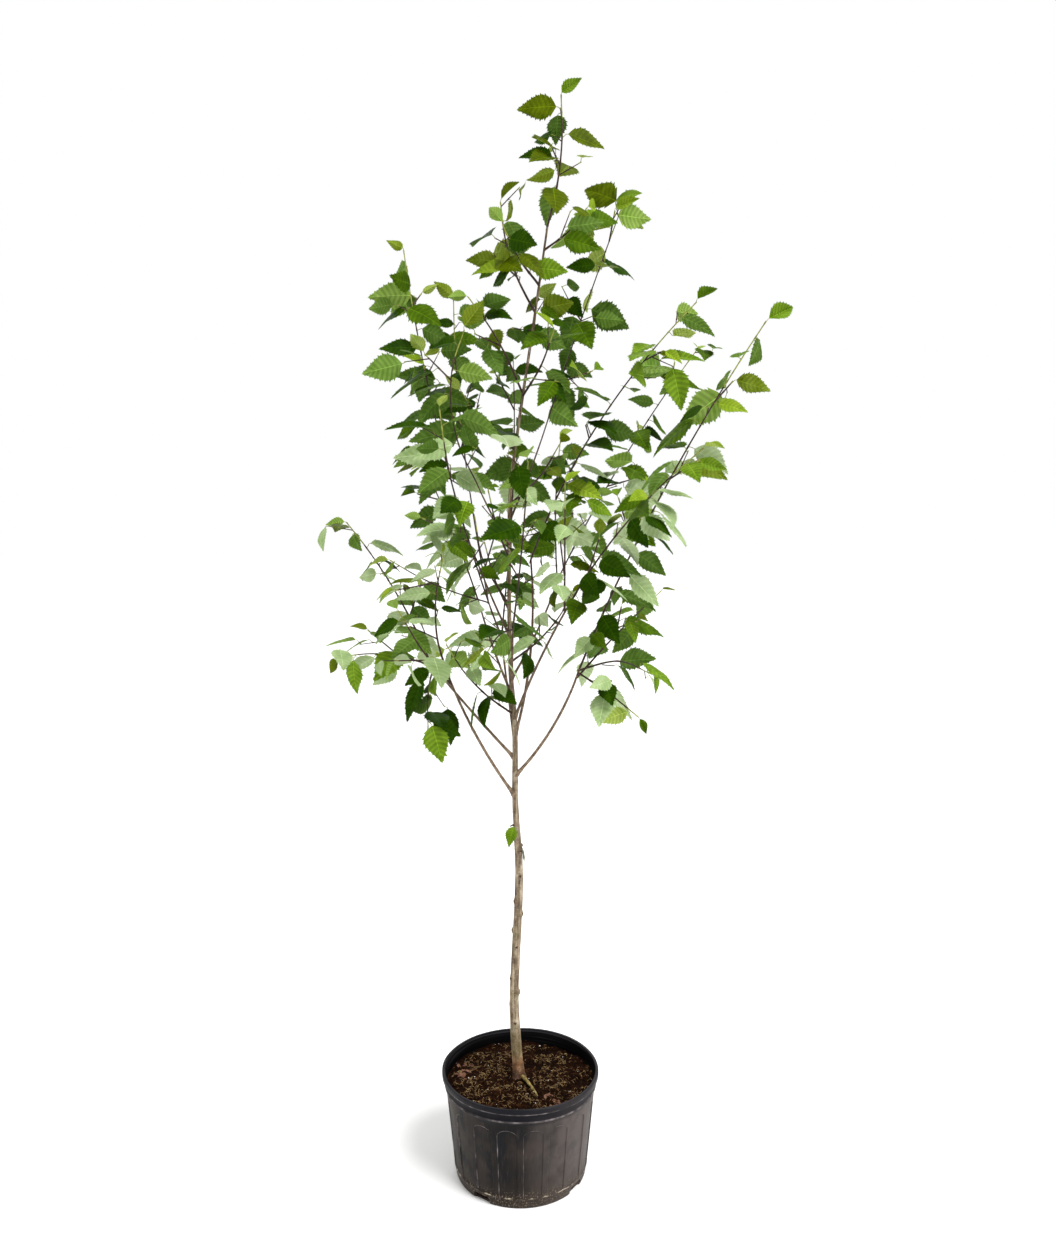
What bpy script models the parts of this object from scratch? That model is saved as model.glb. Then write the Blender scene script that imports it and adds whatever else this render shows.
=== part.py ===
"""A young river birch in a round nursery pot, for Blender 4.5.

Metres, +Z up. The origin is the centre of the pot's flat underside, and -Y looks at the viewer.
Azimuths are in degrees from +X towards +Y, and a lean is in degrees from the vertical.
"""

import math
import random

import bmesh
import bpy
from mathutils import Matrix, Vector
from mathutils.bvhtree import BVHTree
from mathutils.kdtree import KDTree

GAP = 0.0003  # between pieces that touch on the real plant
MERGE = 0.00001

# Pot: a twelve inch squat container of thin moulded plastic
POT_STEPS = 48
RIM_RADIUS = 0.1525
POT_HEIGHT = 0.206
WALL = 0.0028
LIP_DROP = 0.011
BAND_DROP = 0.030
LIP_ROUND = 0.0010
BAND_IN = 0.0055  # the band below the lip and the side below the band, in from the rim
SIDE_IN = 0.0075
STEP_DROP = 0.0015
BASE_RADIUS = 0.1285
BASE_CORNER = 0.008
BASE_IN = 0.0060
FLOOR = 0.004
FLOOR_IN = 0.003
PANELS = 18
PANEL_DEPTH = 0.0013
PANEL_ANGLE = 15.6
PANEL_BOTTOM = 0.024
PANEL_TOP = 0.160
PANEL_CUTTER = 0.012
ARCH_STEPS = 5
ARCH_RISE = 0.75
DRAINS = 4
DRAIN_TURN = 10
DRAIN_WIDTH = 0.036
DRAIN_HEIGHT = 0.014
DRAIN_REACH = 0.012
DRAIN_SHIFT = 0.0042

# Potting mix
SOIL_LEVEL = 0.186
SOIL_FLAT = 0.050
SOIL_DIP = 0.005
SOIL_SLIP = 0.00045

# Trunk: height, place along X and Y, and radius at each bend
TRUNK_BENDS = (
    (SOIL_LEVEL, -0.004, 0.000, 0.0090),
    (0.270, -0.010, 0.002, 0.0083),
    (0.345, -0.013, 0.003, 0.0080),
    (0.440, -0.009, 0.001, 0.0076),
    (0.592, -0.003, -0.002, 0.0068),
    (0.730, -0.010, -0.001, 0.0060),
    (0.880, -0.011, 0.002, 0.0050),
    (0.990, -0.019, 0.003, 0.0043),
    (1.150, -0.021, 0.000, 0.0037),
    (1.310, -0.019, -0.002, 0.0032),
    (1.420, -0.006, 0.000, 0.0029),
    (1.600, 0.021, 0.002, 0.0024),
    (1.790, 0.049, 0.000, 0.0019),
)
TRUNK_STEPS = 24
TRUNK_STEP_EASE = 1.25
FLARE = 0.0030
FLARE_FADE = 0.018
FLARE_RING = 0.004

# Boughs: foot height, azimuth, lean at the foot and at the tip, length, turn of the azimuth
BOUGHS = {
    "bough_left_front": (0.744, 201, 36, 22, 0.263, 0),
    "bough_left_low": (0.816, 164, 46, 44, 0.246, -8),
    "bough_right_low": (0.783, 342, 43, 19, 0.250, -6),
    "bough_right_mid": (0.858, 30, 18, -6, 0.337, 7),
    "bough_right_front": (0.892, 309, 29, 45, 0.275, -9),
    "bough_right_back": (0.967, 52, 47, 42, 0.259, 14),
    "bough_left_upper": (1.014, 150, 30, 21, 0.119, 0),
    "bough_left_high": (1.219, 215, 36, 28, 0.136, 0),
    "bough_right_high": (1.262, 45, 32, 24, 0.215, 0),
    "bough_back_low": (0.838, 98, 50, 30, 0.245, 6),
    "bough_back_left": (0.935, 124, 42, 34, 0.215, -6),
    "bough_front": (0.925, 268, 44, 30, 0.190, 6),
    "bough_front_left": (1.050, 238, 40, 34, 0.150, 0),
    "bough_back_high": (1.130, 88, 40, 26, 0.190, 0),
}
BOUGH_STEPS = 6
BOUGH_SHARE = 0.56
BOUGH_TAPER = 0.62

# Masses of foliage: what carries the stem, the stem's azimuth, lean at the foot and at the
# tip, length and turn, and the length of its leaves. A number as carrier is a height on the
# trunk, and None is the trunk's own tip.
MASSES = {
    "leaves_left_front": ("bough_left_front", 150, 30, -26, 0.235, -18, 0.088),
    "leaves_left_outer": ("bough_left_front", 222, 48, 30, 0.175, 0, 0.088),
    "leaves_left_up": ("bough_left_low", 164, 23, 45, 0.330, -10, 0.088),
    "leaves_left_side": ("bough_left_low", 195, 66, 99, 0.176, 0, 0.095),
    "leaves_left_droop": ("bough_left_low", 262, 112, 150, 0.150, 17, 0.100),
    "leaves_right_wing": ("bough_right_low", 326, 24, 34, 0.675, 16, 0.095),
    "leaves_right_side": ("bough_right_low", 11, 63, 128, 0.147, 8, 0.092),
    "leaves_right_droop": ("bough_right_low", 320, 112, 118, 0.150, -7, 0.095),
    "leaves_right_outer": ("bough_right_low", 20, 44, 55, 0.236, 11, 0.090),
    "leaves_right_mid": ("bough_right_mid", 8, 20, 46, 0.560, -22, 0.090),
    "leaves_right_front": ("bough_right_front", 317, 35, 54, 0.368, 12, 0.092),
    "leaves_front_right": ("bough_right_front", 268, 30, 20, 0.230, 0, 0.095),
    "leaves_right_back": ("bough_right_back", 41, 34, 39, 0.600, -18, 0.090),
    "leaves_right_inner": ("bough_right_back", 96, 26, 30, 0.330, -20, 0.088),
    "leaves_right_high": ("bough_right_high", 38, 22, 24, 0.480, -6, 0.085),
    "leaves_left_high": ("bough_left_high", 215, 37, -27, 0.277, -11, 0.088),
    "leaves_left_tall": ("bough_left_upper", 162, 20, 10, 0.680, -16, 0.090),
    "leaves_left_back": ("bough_left_upper", 106, 38, 0, 0.640, 16, 0.088),
    "leaves_left_long": ("bough_left_upper", 182, 76, 57, 0.200, -3, 0.088),
    "leaves_back_low": ("bough_back_low", 84, 34, 44, 0.300, 0, 0.090),
    "leaves_back_droop": ("bough_back_low", 140, 80, 118, 0.160, 0, 0.092),
    "leaves_back_left": ("bough_back_left", 128, 30, 36, 0.330, 8, 0.090),
    "leaves_front": ("bough_front", 285, 28, 12, 0.300, 0, 0.098),
    "leaves_front_droop": ("bough_front", 250, 84, 124, 0.130, 0, 0.098),
    "leaves_front_left": ("bough_front_left", 232, 34, 8, 0.300, 0, 0.092),
    "leaves_back_high": ("bough_back_high", 84, 30, 16, 0.330, 12, 0.088),
    "leader_top": (None, 0, 17, -5, 0.229, 0, 0.079),
    "leader_right_tip": (1.752, 10, 59, 31, 0.107, 0, 0.083),
    "leader_left_tip": (1.645, 170, 32, 3, 0.202, 0, 0.085),
    "leader_left_up": (1.501, 195, 22, 41, 0.188, 0, 0.083),
    "leader_left_mid": (1.117, 176, 40, 1, 0.168, 0, 0.085),
    "leaf_on_trunk": (0.690, 216, 96, 120, 0.016, 0, 0.036),
}

# Short shoots that the trunk bears all round, up its leafy part
SHOOTS = 9
SHOOT_BOTTOM = 0.905
SHOOT_TOP = 1.690
SHOOT_TURN = 137.5
SHOOT_START = 200
SHOOT_LENGTH = (0.185, 0.120)
SHOOT_LEAN = (58, 28)
SHOOT_LEAF = 0.084

# Stems and side shoots: radius at the foot and at the tip, and where side shoots leave a stem
SEED = 33
STEM_STEP = 0.070
STEM_RADIUS = (0.0021, 0.0012)
STEM_SEAT = 0.0006
BESIDE_BACK = 1.5  # how far back from a tip a second stem leaves it, in stem radii
BESIDE_STEP = 0.007
TIP_LOOK = 0.005
SIDE_RADIUS = (0.0015, 0.0011)
SIDE_SPACING = 0.150
SIDE_STRAY = (0.8, 1.2)
SIDE_FIRST = 0.060
SIDE_FIRST_STRAY = 0.050
SIDE_LAST = 0.070
SIDE_LENGTH = (0.055, 0.100)
SIDE_LENGTH_FOOT = 1.15
SIDE_LENGTH_FADE = 0.5
SIDE_ANGLE = 48
ASKEW = Vector((0.31, 0.17, 0.94))  # a way that no twig runs along

# Leaves: their places up a twig, the petiole's angle to the twig, and the blade's shape
LEAF_SPACING = 0.042
LEAF_FIRST = 0.014
LEAF_LAST = 0.004
LEAF_PHASE = 0.35
LEAF_TURN = 137.5
LEAF_TURN_STRAY = 20
LEAF_ANGLE = (58, 92)
LEAF_ROLL = 65
LEAF_SIZE = (0.86, 1.10)
LEAF_FADE = 0.38
LEAF_TRIES = 12
LEAF_SHRINK = 0.25
TIP_LEAF_BACK = 0.003
TIP_LEAF_ANGLE = (4, 30)
TIP_LEAF_ROLL = 90
TIP_LEAF_SIZE = (0.42, 0.62)
PETIOLE = 0.17
PETIOLE_RISE = math.radians(48)
LEAF_SECTIONS = (  # share of the blade's length, half width, fall and thickness, in blade lengths
    (0.00, 0.012, 0.000, 0.014),
    (0.40, 0.345, 0.015, 0.018),
)
LEAF_TIP = (1.00, 0.0, -0.160)

# Tests that keep the pieces apart, and the union's clean-up
BALL_STEP = 0.005
CLEAR = 0.0012
NEAR = 0.012
FOOT_BALLS = 3
TEST_SWELL = 1.04
LEAF_REACH = 0.62
FLAT_ANGLE = math.radians(0.05)


def material(name, colour, roughness):
    """One plain Principled material; colour is linear RGB."""
    made = bpy.data.materials.new(name)
    made.use_nodes = True
    shader = made.node_tree.nodes["Principled BSDF"]
    shader.inputs["Base Color"].default_value = (*colour, 1)
    shader.inputs["Roughness"].default_value = roughness
    made.diffuse_color = (*colour, 1)
    return made


def mesh_object(name, mesh, collection, finish=None):
    """A new object for a mesh, in a collection, with its material."""
    made = bpy.data.objects.new(name, mesh)
    collection.objects.link(made)
    if finish:
        mesh.materials.clear()
        mesh.materials.append(finish)
    return made


def evaluated_mesh(source):
    """The mesh that an object shows."""
    bpy.context.view_layer.update()
    shown = source.evaluated_get(bpy.context.evaluated_depsgraph_get())
    return bpy.data.meshes.new_from_object(shown)


def weld(mesh):
    """Joins a mesh's doubled points, as at a curve's loose caps."""
    work = bmesh.new()
    work.from_mesh(mesh)
    bmesh.ops.remove_doubles(work, verts=work.verts, dist=MERGE)
    work.to_mesh(mesh)
    work.free()
    return mesh


def apply_modifiers(target):
    """Replaces an object's mesh by what its modifiers make of it."""
    mesh = evaluated_mesh(target)
    target.modifiers.clear()
    target.data = mesh


def tube(name, points, radii, collection, sides_setting, finish=None):
    """A closed tube along points: a curve with a bevel and filled caps, made a mesh."""
    curve = bpy.data.curves.new(name, "CURVE")
    curve.dimensions = "3D"
    curve.bevel_depth = 1.0
    curve.bevel_resolution = sides_setting
    curve.use_fill_caps = True
    spline = curve.splines.new("POLY")
    spline.points.add(len(points) - 1)
    for control, point, radius in zip(spline.points, points, radii):
        control.co = (*point, 1)
        control.radius = radius
    drawn = bpy.data.objects.new(name, curve)
    collection.objects.link(drawn)
    made = mesh_object(name, weld(evaluated_mesh(drawn)), collection, finish)
    bpy.data.objects.remove(drawn)
    bpy.data.curves.remove(curve)
    made.name = name
    return made


def turned(name, profile, collection, finish=None):
    """A turned solid: a closed profile of radius and height, given down its outer side."""
    mesh = bpy.data.meshes.new(name)
    work = bmesh.new()
    corners = [work.verts.new((radius, 0, height)) for radius, height in profile]
    for start, end in zip(corners, corners[1:]):
        work.edges.new((start, end))
    work.to_mesh(mesh)
    work.free()
    made = mesh_object(name, mesh, collection, finish)
    screw = made.modifiers.new("turn", "SCREW")
    screw.steps = POT_STEPS
    screw.render_steps = POT_STEPS
    screw.use_merge_vertices = True
    screw.merge_threshold = MERGE
    apply_modifiers(made)
    weld(made.data)
    return made


def cut(target, cutter):
    """Takes one piece out of another, and removes the cutter."""
    boolean = target.modifiers.new("cut", "BOOLEAN")
    boolean.operation = "DIFFERENCE"
    boolean.solver = "EXACT"
    boolean.object = cutter
    apply_modifiers(target)
    bpy.data.objects.remove(cutter)


def loft(name, rings, collection, finish=None):
    """A closed solid through rings of as many points each, all seen the same way round."""
    work = bmesh.new()
    made_rings = [[work.verts.new(point) for point in ring] for ring in rings]
    for ring, following in zip(made_rings, made_rings[1:]):
        for corner in range(len(ring)):
            beside = (corner + 1) % len(ring)
            work.faces.new((ring[corner], ring[beside], following[beside], following[corner]))
    work.faces.new(list(reversed(made_rings[0])))
    work.faces.new(made_rings[-1])
    bmesh.ops.remove_doubles(work, verts=work.verts, dist=MERGE)
    bmesh.ops.dissolve_degenerate(work, edges=work.edges, dist=MERGE)
    bmesh.ops.triangulate(work, faces=work.faces)
    bmesh.ops.recalc_face_normals(work, faces=work.faces)
    if work.calc_volume(signed=True) < 0:
        bmesh.ops.reverse_faces(work, faces=work.faces)
    mesh = bpy.data.meshes.new(name)
    work.to_mesh(mesh)
    work.free()
    return mesh_object(name, mesh, collection, finish)


def smooth(target, angle=35):
    """Shades a round piece smooth, with its real edges sharp."""
    target.data.shade_smooth()
    target.data.set_sharp_from_angle(angle=math.radians(angle))


def direction(azimuth, lean):
    """The unit vector at an azimuth and a lean, both in degrees."""
    turn, tilt = math.radians(azimuth), math.radians(lean)
    return Vector((math.sin(tilt) * math.cos(turn), math.sin(tilt) * math.sin(turn), math.cos(tilt)))


def limb_path(foot, azimuth, lean_foot, lean_tip, length, turn, steps):
    """Points along a limb whose lean eases from its foot to its tip."""
    points = [Vector(foot)]
    for step in range(steps):
        share = (step + 0.5) / steps
        way = direction(azimuth + turn * share, lean_foot + (lean_tip - lean_foot) * share)
        points.append(points[-1] + way * length / steps)
    return points


def along(points, distance):
    """The place and the direction at a distance along a path."""
    for start, end in zip(points, points[1:]):
        span = (end - start).length
        if distance <= span or end is points[-1]:
            return start.lerp(end, min(distance / span, 1)), (end - start).normalized()
        distance -= span


def path_length(points):
    return sum((end - start).length for start, end in zip(points, points[1:]))


def trunk_at(height):
    """The trunk's centre and radius at a height, on a smooth curve through its bends."""
    last = len(TRUNK_BENDS) - 2
    index = max(i for i in range(last + 1) if i == 0 or TRUNK_BENDS[i][0] <= height)
    before, start, end, after = (
        TRUNK_BENDS[min(max(index + shift, 0), last + 1)] for shift in (-1, 0, 1, 2)
    )
    span = end[0] - start[0]
    share = (height - start[0]) / span
    ease = share * share * (3 - 2 * share)
    values = []
    for axis in (1, 2):
        slope_start = (end[axis] - before[axis]) / (end[0] - before[0]) * span
        slope_end = (after[axis] - start[axis]) / (after[0] - start[0]) * span
        bend = share * (1 - share) * (slope_start * (1 - share) - slope_end * share)
        values.append(start[axis] + (end[axis] - start[axis]) * ease + bend)
    radius = start[3] + (end[3] - start[3]) * share
    radius += FLARE * math.exp(-(height - SOIL_LEVEL) / FLARE_FADE)
    return Vector((values[0], values[1], height)), radius


def make_pot(collection, cutters):
    """The pot: a turned cup with a rolled lip, arched panels round its side and drain notches."""
    plastic = material("black_pot_plastic", (0.022, 0.023, 0.026), 0.55)
    top_under_lip = POT_HEIGHT - LIP_DROP
    band_bottom = POT_HEIGHT - BAND_DROP
    side_top = RIM_RADIUS - SIDE_IN
    profile = (
        (RIM_RADIUS - LIP_ROUND, POT_HEIGHT),
        (RIM_RADIUS, POT_HEIGHT - LIP_ROUND),
        (RIM_RADIUS, top_under_lip),
        (RIM_RADIUS - BAND_IN, top_under_lip),
        (RIM_RADIUS - BAND_IN, band_bottom),
        (side_top, band_bottom - STEP_DROP),
        (BASE_RADIUS, BASE_CORNER),
        (BASE_RADIUS - BASE_IN, 0.0),
        (0.0, 0.0),
    )
    inside = (
        (0.0, FLOOR),
        (BASE_RADIUS - WALL - FLOOR_IN, FLOOR),
        (side_top - WALL, band_bottom - STEP_DROP),
        (RIM_RADIUS - BAND_IN - WALL, top_under_lip),
        (RIM_RADIUS - BAND_IN, POT_HEIGHT),
    )
    closed = profile + inside + profile[:1]
    pot = turned("pot", closed, collection, plastic)

    taper = math.atan2(side_top - BASE_RADIUS, band_bottom - BASE_CORNER)
    middle = (PANEL_BOTTOM + PANEL_TOP) / 2
    share = (middle - BASE_CORNER) / (band_bottom - BASE_CORNER)
    side_radius = BASE_RADIUS + (side_top - BASE_RADIUS) * share
    half = side_radius * math.sin(math.radians(PANEL_ANGLE / 2))
    tall = (PANEL_TOP - PANEL_BOTTOM) / 2
    arch = [(-half, -tall), (half, -tall)]
    for step in range(ARCH_STEPS):
        turn = math.pi * (step + 0.5) / ARCH_STEPS
        arch.append((half * math.cos(turn), tall - half * ARCH_RISE * (1 - math.sin(turn))))
    panels = bmesh.new()
    for index in range(PANELS):
        turn = Matrix.Rotation(math.tau * (index + 0.5) / PANELS, 4, "Z")
        tilt = Matrix.Translation((0, -side_radius, middle)) @ Matrix.Rotation(taper, 4, "X")
        place = turn @ tilt
        near, far = (
            [panels.verts.new(place @ Vector((x, depth, z))) for x, z in arch]
            for depth in (PANEL_CUTTER, -PANEL_CUTTER)
        )
        panels.faces.new(near)
        panels.faces.new(list(reversed(far)))
        for corner in range(len(arch)):
            beside = (corner + 1) % len(arch)
            panels.faces.new((near[corner], far[corner], far[beside], near[beside]))
    bmesh.ops.recalc_face_normals(panels, faces=panels.faces)
    mesh = bpy.data.meshes.new("panel_cutter")
    panels.to_mesh(mesh)
    panels.free()
    panel_cutter = mesh_object("panel_cutter", mesh, cutters)
    slope = math.tan(taper)
    core_profile = (
        (0.0, POT_HEIGHT),
        (BASE_RADIUS - PANEL_DEPTH + slope * (POT_HEIGHT - BASE_CORNER), POT_HEIGHT),
        (BASE_RADIUS - PANEL_DEPTH - slope * BASE_CORNER, 0.0),
        (0.0, 0.0),
    )
    cut(panel_cutter, turned("panel_core", core_profile, cutters))
    cut(pot, panel_cutter)

    drains = bmesh.new()
    for index in range(DRAINS):
        azimuth = math.tau * (index + 0.5) / DRAINS + math.radians(DRAIN_TURN)
        turn = Matrix.Rotation(azimuth, 4, "Z")
        size = Matrix.Diagonal((DRAIN_REACH * 2, DRAIN_WIDTH, DRAIN_HEIGHT * 2, 1))
        place = turn @ Matrix.Translation((BASE_RADIUS + DRAIN_SHIFT, 0, 0)) @ size
        bmesh.ops.create_cube(drains, size=1, matrix=place)
    mesh = bpy.data.meshes.new("drain_cutter")
    drains.to_mesh(mesh)
    drains.free()
    cut(pot, mesh_object("drain_cutter", mesh, cutters))
    smooth(pot, 25)
    return pot


def make_soil(collection):
    """The potting mix: it fills the pot to below the rim, and is flat round the trunk's foot."""
    bark_mix = material("bark_potting_mix", (0.060, 0.036, 0.022), 0.9)
    band_bottom = POT_HEIGHT - BAND_DROP
    side_top = RIM_RADIUS - SIDE_IN
    slip = WALL + SOIL_SLIP
    edge = SOIL_LEVEL - SOIL_DIP
    over = (edge - band_bottom) / (BAND_DROP - LIP_DROP)
    profile = (
        (0.0, SOIL_LEVEL),
        (SOIL_FLAT, SOIL_LEVEL),
        (side_top - slip + (SIDE_IN - BAND_IN) * over, edge),
        (side_top - slip, band_bottom - STEP_DROP),
        (BASE_RADIUS - slip - FLOOR_IN, FLOOR + GAP),
        (0.0, FLOOR + GAP),
    )
    soil = turned("soil", profile, collection, bark_mix)
    smooth(soil)
    return soil


def make_trunk(collection, bark):
    """The trunk: one taper from a flat cut at the soil, with a flare, up to the leading shoot."""
    foot = SOIL_LEVEL + GAP
    top = TRUNK_BENDS[-1][0]
    shares = [(step / TRUNK_STEPS) ** TRUNK_STEP_EASE for step in range(TRUNK_STEPS + 1)]
    heights = [foot + (top - foot) * share for share in shares]
    heights.insert(1, foot + FLARE_RING)
    rings = [trunk_at(height) for height in heights]
    points = [centre for centre, _ in rings]
    points[0] = Vector((points[1].x, points[1].y, foot))
    radii = [radius for _, radius in rings]
    trunk = tube("trunk", points, radii, collection, 3, bark)
    smooth(trunk)
    return points, radii


def make_bough(name, sizes, trunk_line, collection, cutters, bark):
    """One tapering limb, its foot cut to the trunk's round side."""
    foot_height, azimuth, lean_foot, lean_tip, length, turn = sizes
    centre, trunk_radius = trunk_at(foot_height)
    points = limb_path(centre, azimuth, lean_foot, lean_tip, length, turn, BOUGH_STEPS)
    foot_radius = trunk_radius * BOUGH_SHARE
    shares = [step / BOUGH_STEPS for step in range(BOUGH_STEPS + 1)]
    radii = [foot_radius * (1 + (BOUGH_TAPER - 1) * share) for share in shares]
    bough = tube(name, points, radii, collection, 1, bark)
    sleeve = tube("sleeve", trunk_line[0], [r + GAP for r in trunk_line[1]], cutters, 3)
    cut(bough, sleeve)
    smooth(bough)
    return points, radii


def balls_along(points, start_radius, end_radius, owner):
    """Balls that stand for a limb or a twig in the tests: place, radius and owner."""
    length = path_length(points)
    count = max(2, math.ceil(length / BALL_STEP))
    balls = []
    for index in range(count + 1):
        share = index / count
        place, _ = along(points, length * share)
        balls.append((place, start_radius + (end_radius - start_radius) * share, owner))
    return balls


def tree_of(balls):
    """A search tree of balls by place."""
    tree = KDTree(len(balls))
    for index, (place, _, _) in enumerate(balls):
        tree.insert(place, index)
    tree.balance()
    return tree


def ring_of(place, way, radius):
    """Three points round a twig, square to its way."""
    side = way.cross(ASKEW).normalized()
    other = way.cross(side)
    turns = [math.tau * corner / 3 for corner in range(3)]
    return [place + (side * math.cos(turn) + other * math.sin(turn)) * radius for turn in turns]


def stem_path(sizes, boughs, used):
    """A stem's path from its foot: on its bough's tip, beside that tip or on the trunk, a gap clear."""
    carrier, azimuth, lean_foot, lean_tip, length, turn, _ = sizes
    steps = max(2, round(length / STEM_STEP))
    path = limb_path((0, 0, 0), azimuth, lean_foot, lean_tip, length, turn, steps)
    way = path[1].normalized()
    radius = STEM_RADIUS[0]
    if isinstance(carrier, str):
        points, radii = boughs[carrier]
        axis = (points[-1] - points[-2]).normalized()
        centre, thick = points[-1], radii[-1]
        beside = used.setdefault(carrier, 0)
        used[carrier] += 1
    else:
        height = TRUNK_BENDS[-1][0] if carrier is None else carrier
        centre, thick = trunk_at(height)
        axis = (centre - trunk_at(height - TIP_LOOK)[0]).normalized()
        beside = 0 if carrier is None else 1
    if beside == 0:
        foot = centre + axis * (GAP + radius * axis.cross(way).length)
    else:
        foot = centre
        if isinstance(carrier, str):
            foot = centre - axis * (radius * BESIDE_BACK + BESIDE_STEP * (beside - 1))
        aside = (way - axis * way.dot(axis)).normalized()
        ring = ring_of(foot + aside * thick, way, radius)
        rim = ring + [(ring[corner] + ring[corner - 1]) / 2 for corner in range(3)]
        nearest = min((point - centre - axis * (point - centre).dot(axis)).length for point in rim)
        foot = foot + aside * (2 * thick + STEM_SEAT - nearest)
    return [foot + point for point in path]


def twig_rings(points, radius_start, radius_end):
    """The rings of a three-sided twig that tapers along its path."""
    rings = []
    for index, point in enumerate(points):
        ahead = points[min(index + 1, len(points) - 1)]
        behind = points[max(index - 1, 0)]
        share = index / (len(points) - 1)
        radius = radius_start + (radius_end - radius_start) * share
        rings.append(ring_of(point, (ahead - behind).normalized(), radius))
    return rings


def leaf_rings(length, swell=1.0, with_petiole=True):
    """The rings of a leaf of a given length: +X to the tip, +Z its upper side, blade base at 0."""
    rings = []
    if with_petiole:
        root = Vector((-math.cos(PETIOLE_RISE), 0, -math.sin(PETIOLE_RISE))) * PETIOLE
        width, thick = LEAF_SECTIONS[0][1], LEAF_SECTIONS[0][3]
        rings.append([root + Vector(shift) for shift in ((0, width, 0), (0, -width, 0), (0, 0, -thick))])
    for share, half_width, fall, thick in LEAF_SECTIONS:
        rings.append([Vector((share, half_width, -fall)), Vector((share, -half_width, -fall)),
                      Vector((share, 0, -fall - thick))])
    rings.append([Vector(LEAF_TIP)] * 3)
    return [[point * length * swell for point in ring] for ring in rings]


def leaf_frame(way, roll):
    """A leaf's turn: its petiole runs along way, and its blade bends from that to the ground."""
    across = way.cross(Vector((0, 0, -1)))
    if across.length < 0.1:
        across = way.cross(Vector((0, -1, 0)))
    across.normalize()
    blade = Matrix.Rotation(PETIOLE_RISE, 3, across) @ way
    face = blade.cross(across).normalized()
    if face.dot(way) < 0:
        face.negate()
    turned_frame = Matrix.Rotation(roll, 3, way)
    blade, face = turned_frame @ blade, turned_frame @ face
    return Matrix((blade, face.cross(blade), face)).transposed()


class Crown:
    """What the growing masses share: every stem's space, the limbs' balls and the leaves."""

    def __init__(self, limb_balls, stems):
        self.stem_balls = [ball for name in stems for ball in
                           balls_along(stems[name], *STEM_RADIUS, name)]
        self.space = tree_of(self.stem_balls)
        self.solid = limb_balls + self.stem_balls
        self.solid_tree = tree_of(self.solid)
        self.shoot_balls = []
        self.leaves = []

    def in_space(self, point, owner):
        """Whether a point is nearer to its own mass's stem than to any other's."""
        _, index, _ = self.space.find(point)
        return self.stem_balls[index][2] == owner

    def shoot_is_free(self, points, owner):
        """Whether a side shoot stays in its space, off the limbs, the stems and the leaves."""
        for place, radius, _ in balls_along(points, *SIDE_RADIUS, owner)[FOOT_BALLS:]:
            if not self.in_space(place, owner):
                return False
            for _, index, distance in self.solid_tree.find_range(place, NEAR):
                if distance < radius + self.solid[index][1] + CLEAR:
                    return False
            for other, other_radius, _ in self.shoot_balls:
                if (place - other).length < radius + other_radius + CLEAR:
                    return False
            for centre, reach, blade in self.leaves:
                if (centre - place).length < reach and blade.find_nearest(place, radius + CLEAR)[0]:
                    return False
        return True

    def leaf_is_free(self, place, turn, length, owner):
        """Whether a leaf stays in its space and touches no limb, twig or other leaf."""
        rings = leaf_rings(length, TEST_SWELL, False)
        base = place - turn @ (leaf_rings(length)[0][0] + leaf_rings(length)[0][1]) / 2
        rings = [[base + turn @ point for point in ring] for ring in rings]
        for ring in rings[1:]:
            for point in ring:
                if not self.in_space(point, owner):
                    return None
        points = [point for ring in rings for point in ring]
        faces = [(0, 2, 1)]
        for ring in range(len(rings) - 1):
            for corner in range(3):
                here, beside = ring * 3 + corner, ring * 3 + (corner + 1) % 3
                faces += [(here, beside, beside + 3), (here, beside + 3, here + 3)]
        blade = BVHTree.FromPolygons(points, faces, all_triangles=True)
        centre = (rings[0][2] + rings[-1][2]) / 2
        reach = length * LEAF_REACH
        near = [self.solid[index] for _, index, _ in self.solid_tree.find_range(centre, reach)]
        for ball, radius, _ in near + [b for b in self.shoot_balls if (b[0] - centre).length < reach]:
            if blade.find_nearest(ball, radius + CLEAR)[0]:
                return None
        for other_centre, other_reach, other in self.leaves:
            if (other_centre - centre).length < reach + other_reach and blade.overlap(other):
                return None
        return base, (centre, reach, blade)


def leaf_places(points, chance):
    """Where leaves sit on a twig, in turn: place, way of the petiole and share of the length."""
    length = path_length(points)
    count = max(1, round((length - LEAF_FIRST) / LEAF_SPACING))
    turn = chance.uniform(0, 360)
    for index in range(count):
        distance = LEAF_FIRST + (length - LEAF_FIRST - LEAF_LAST) * (index + LEAF_PHASE) / count
        place, way = along(points, distance)
        turn += LEAF_TURN + chance.uniform(-LEAF_TURN_STRAY, LEAF_TURN_STRAY)
        yield place, way, turn, distance / length


def petiole_way(way, turn, angle):
    """The way of a petiole that leaves a twig at an angle, at a turn round it."""
    side = way.cross(ASKEW).normalized()
    side = Matrix.Rotation(math.radians(turn), 3, way) @ side
    return (way * math.cos(math.radians(angle)) + side * math.sin(math.radians(angle))).normalized()


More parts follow.
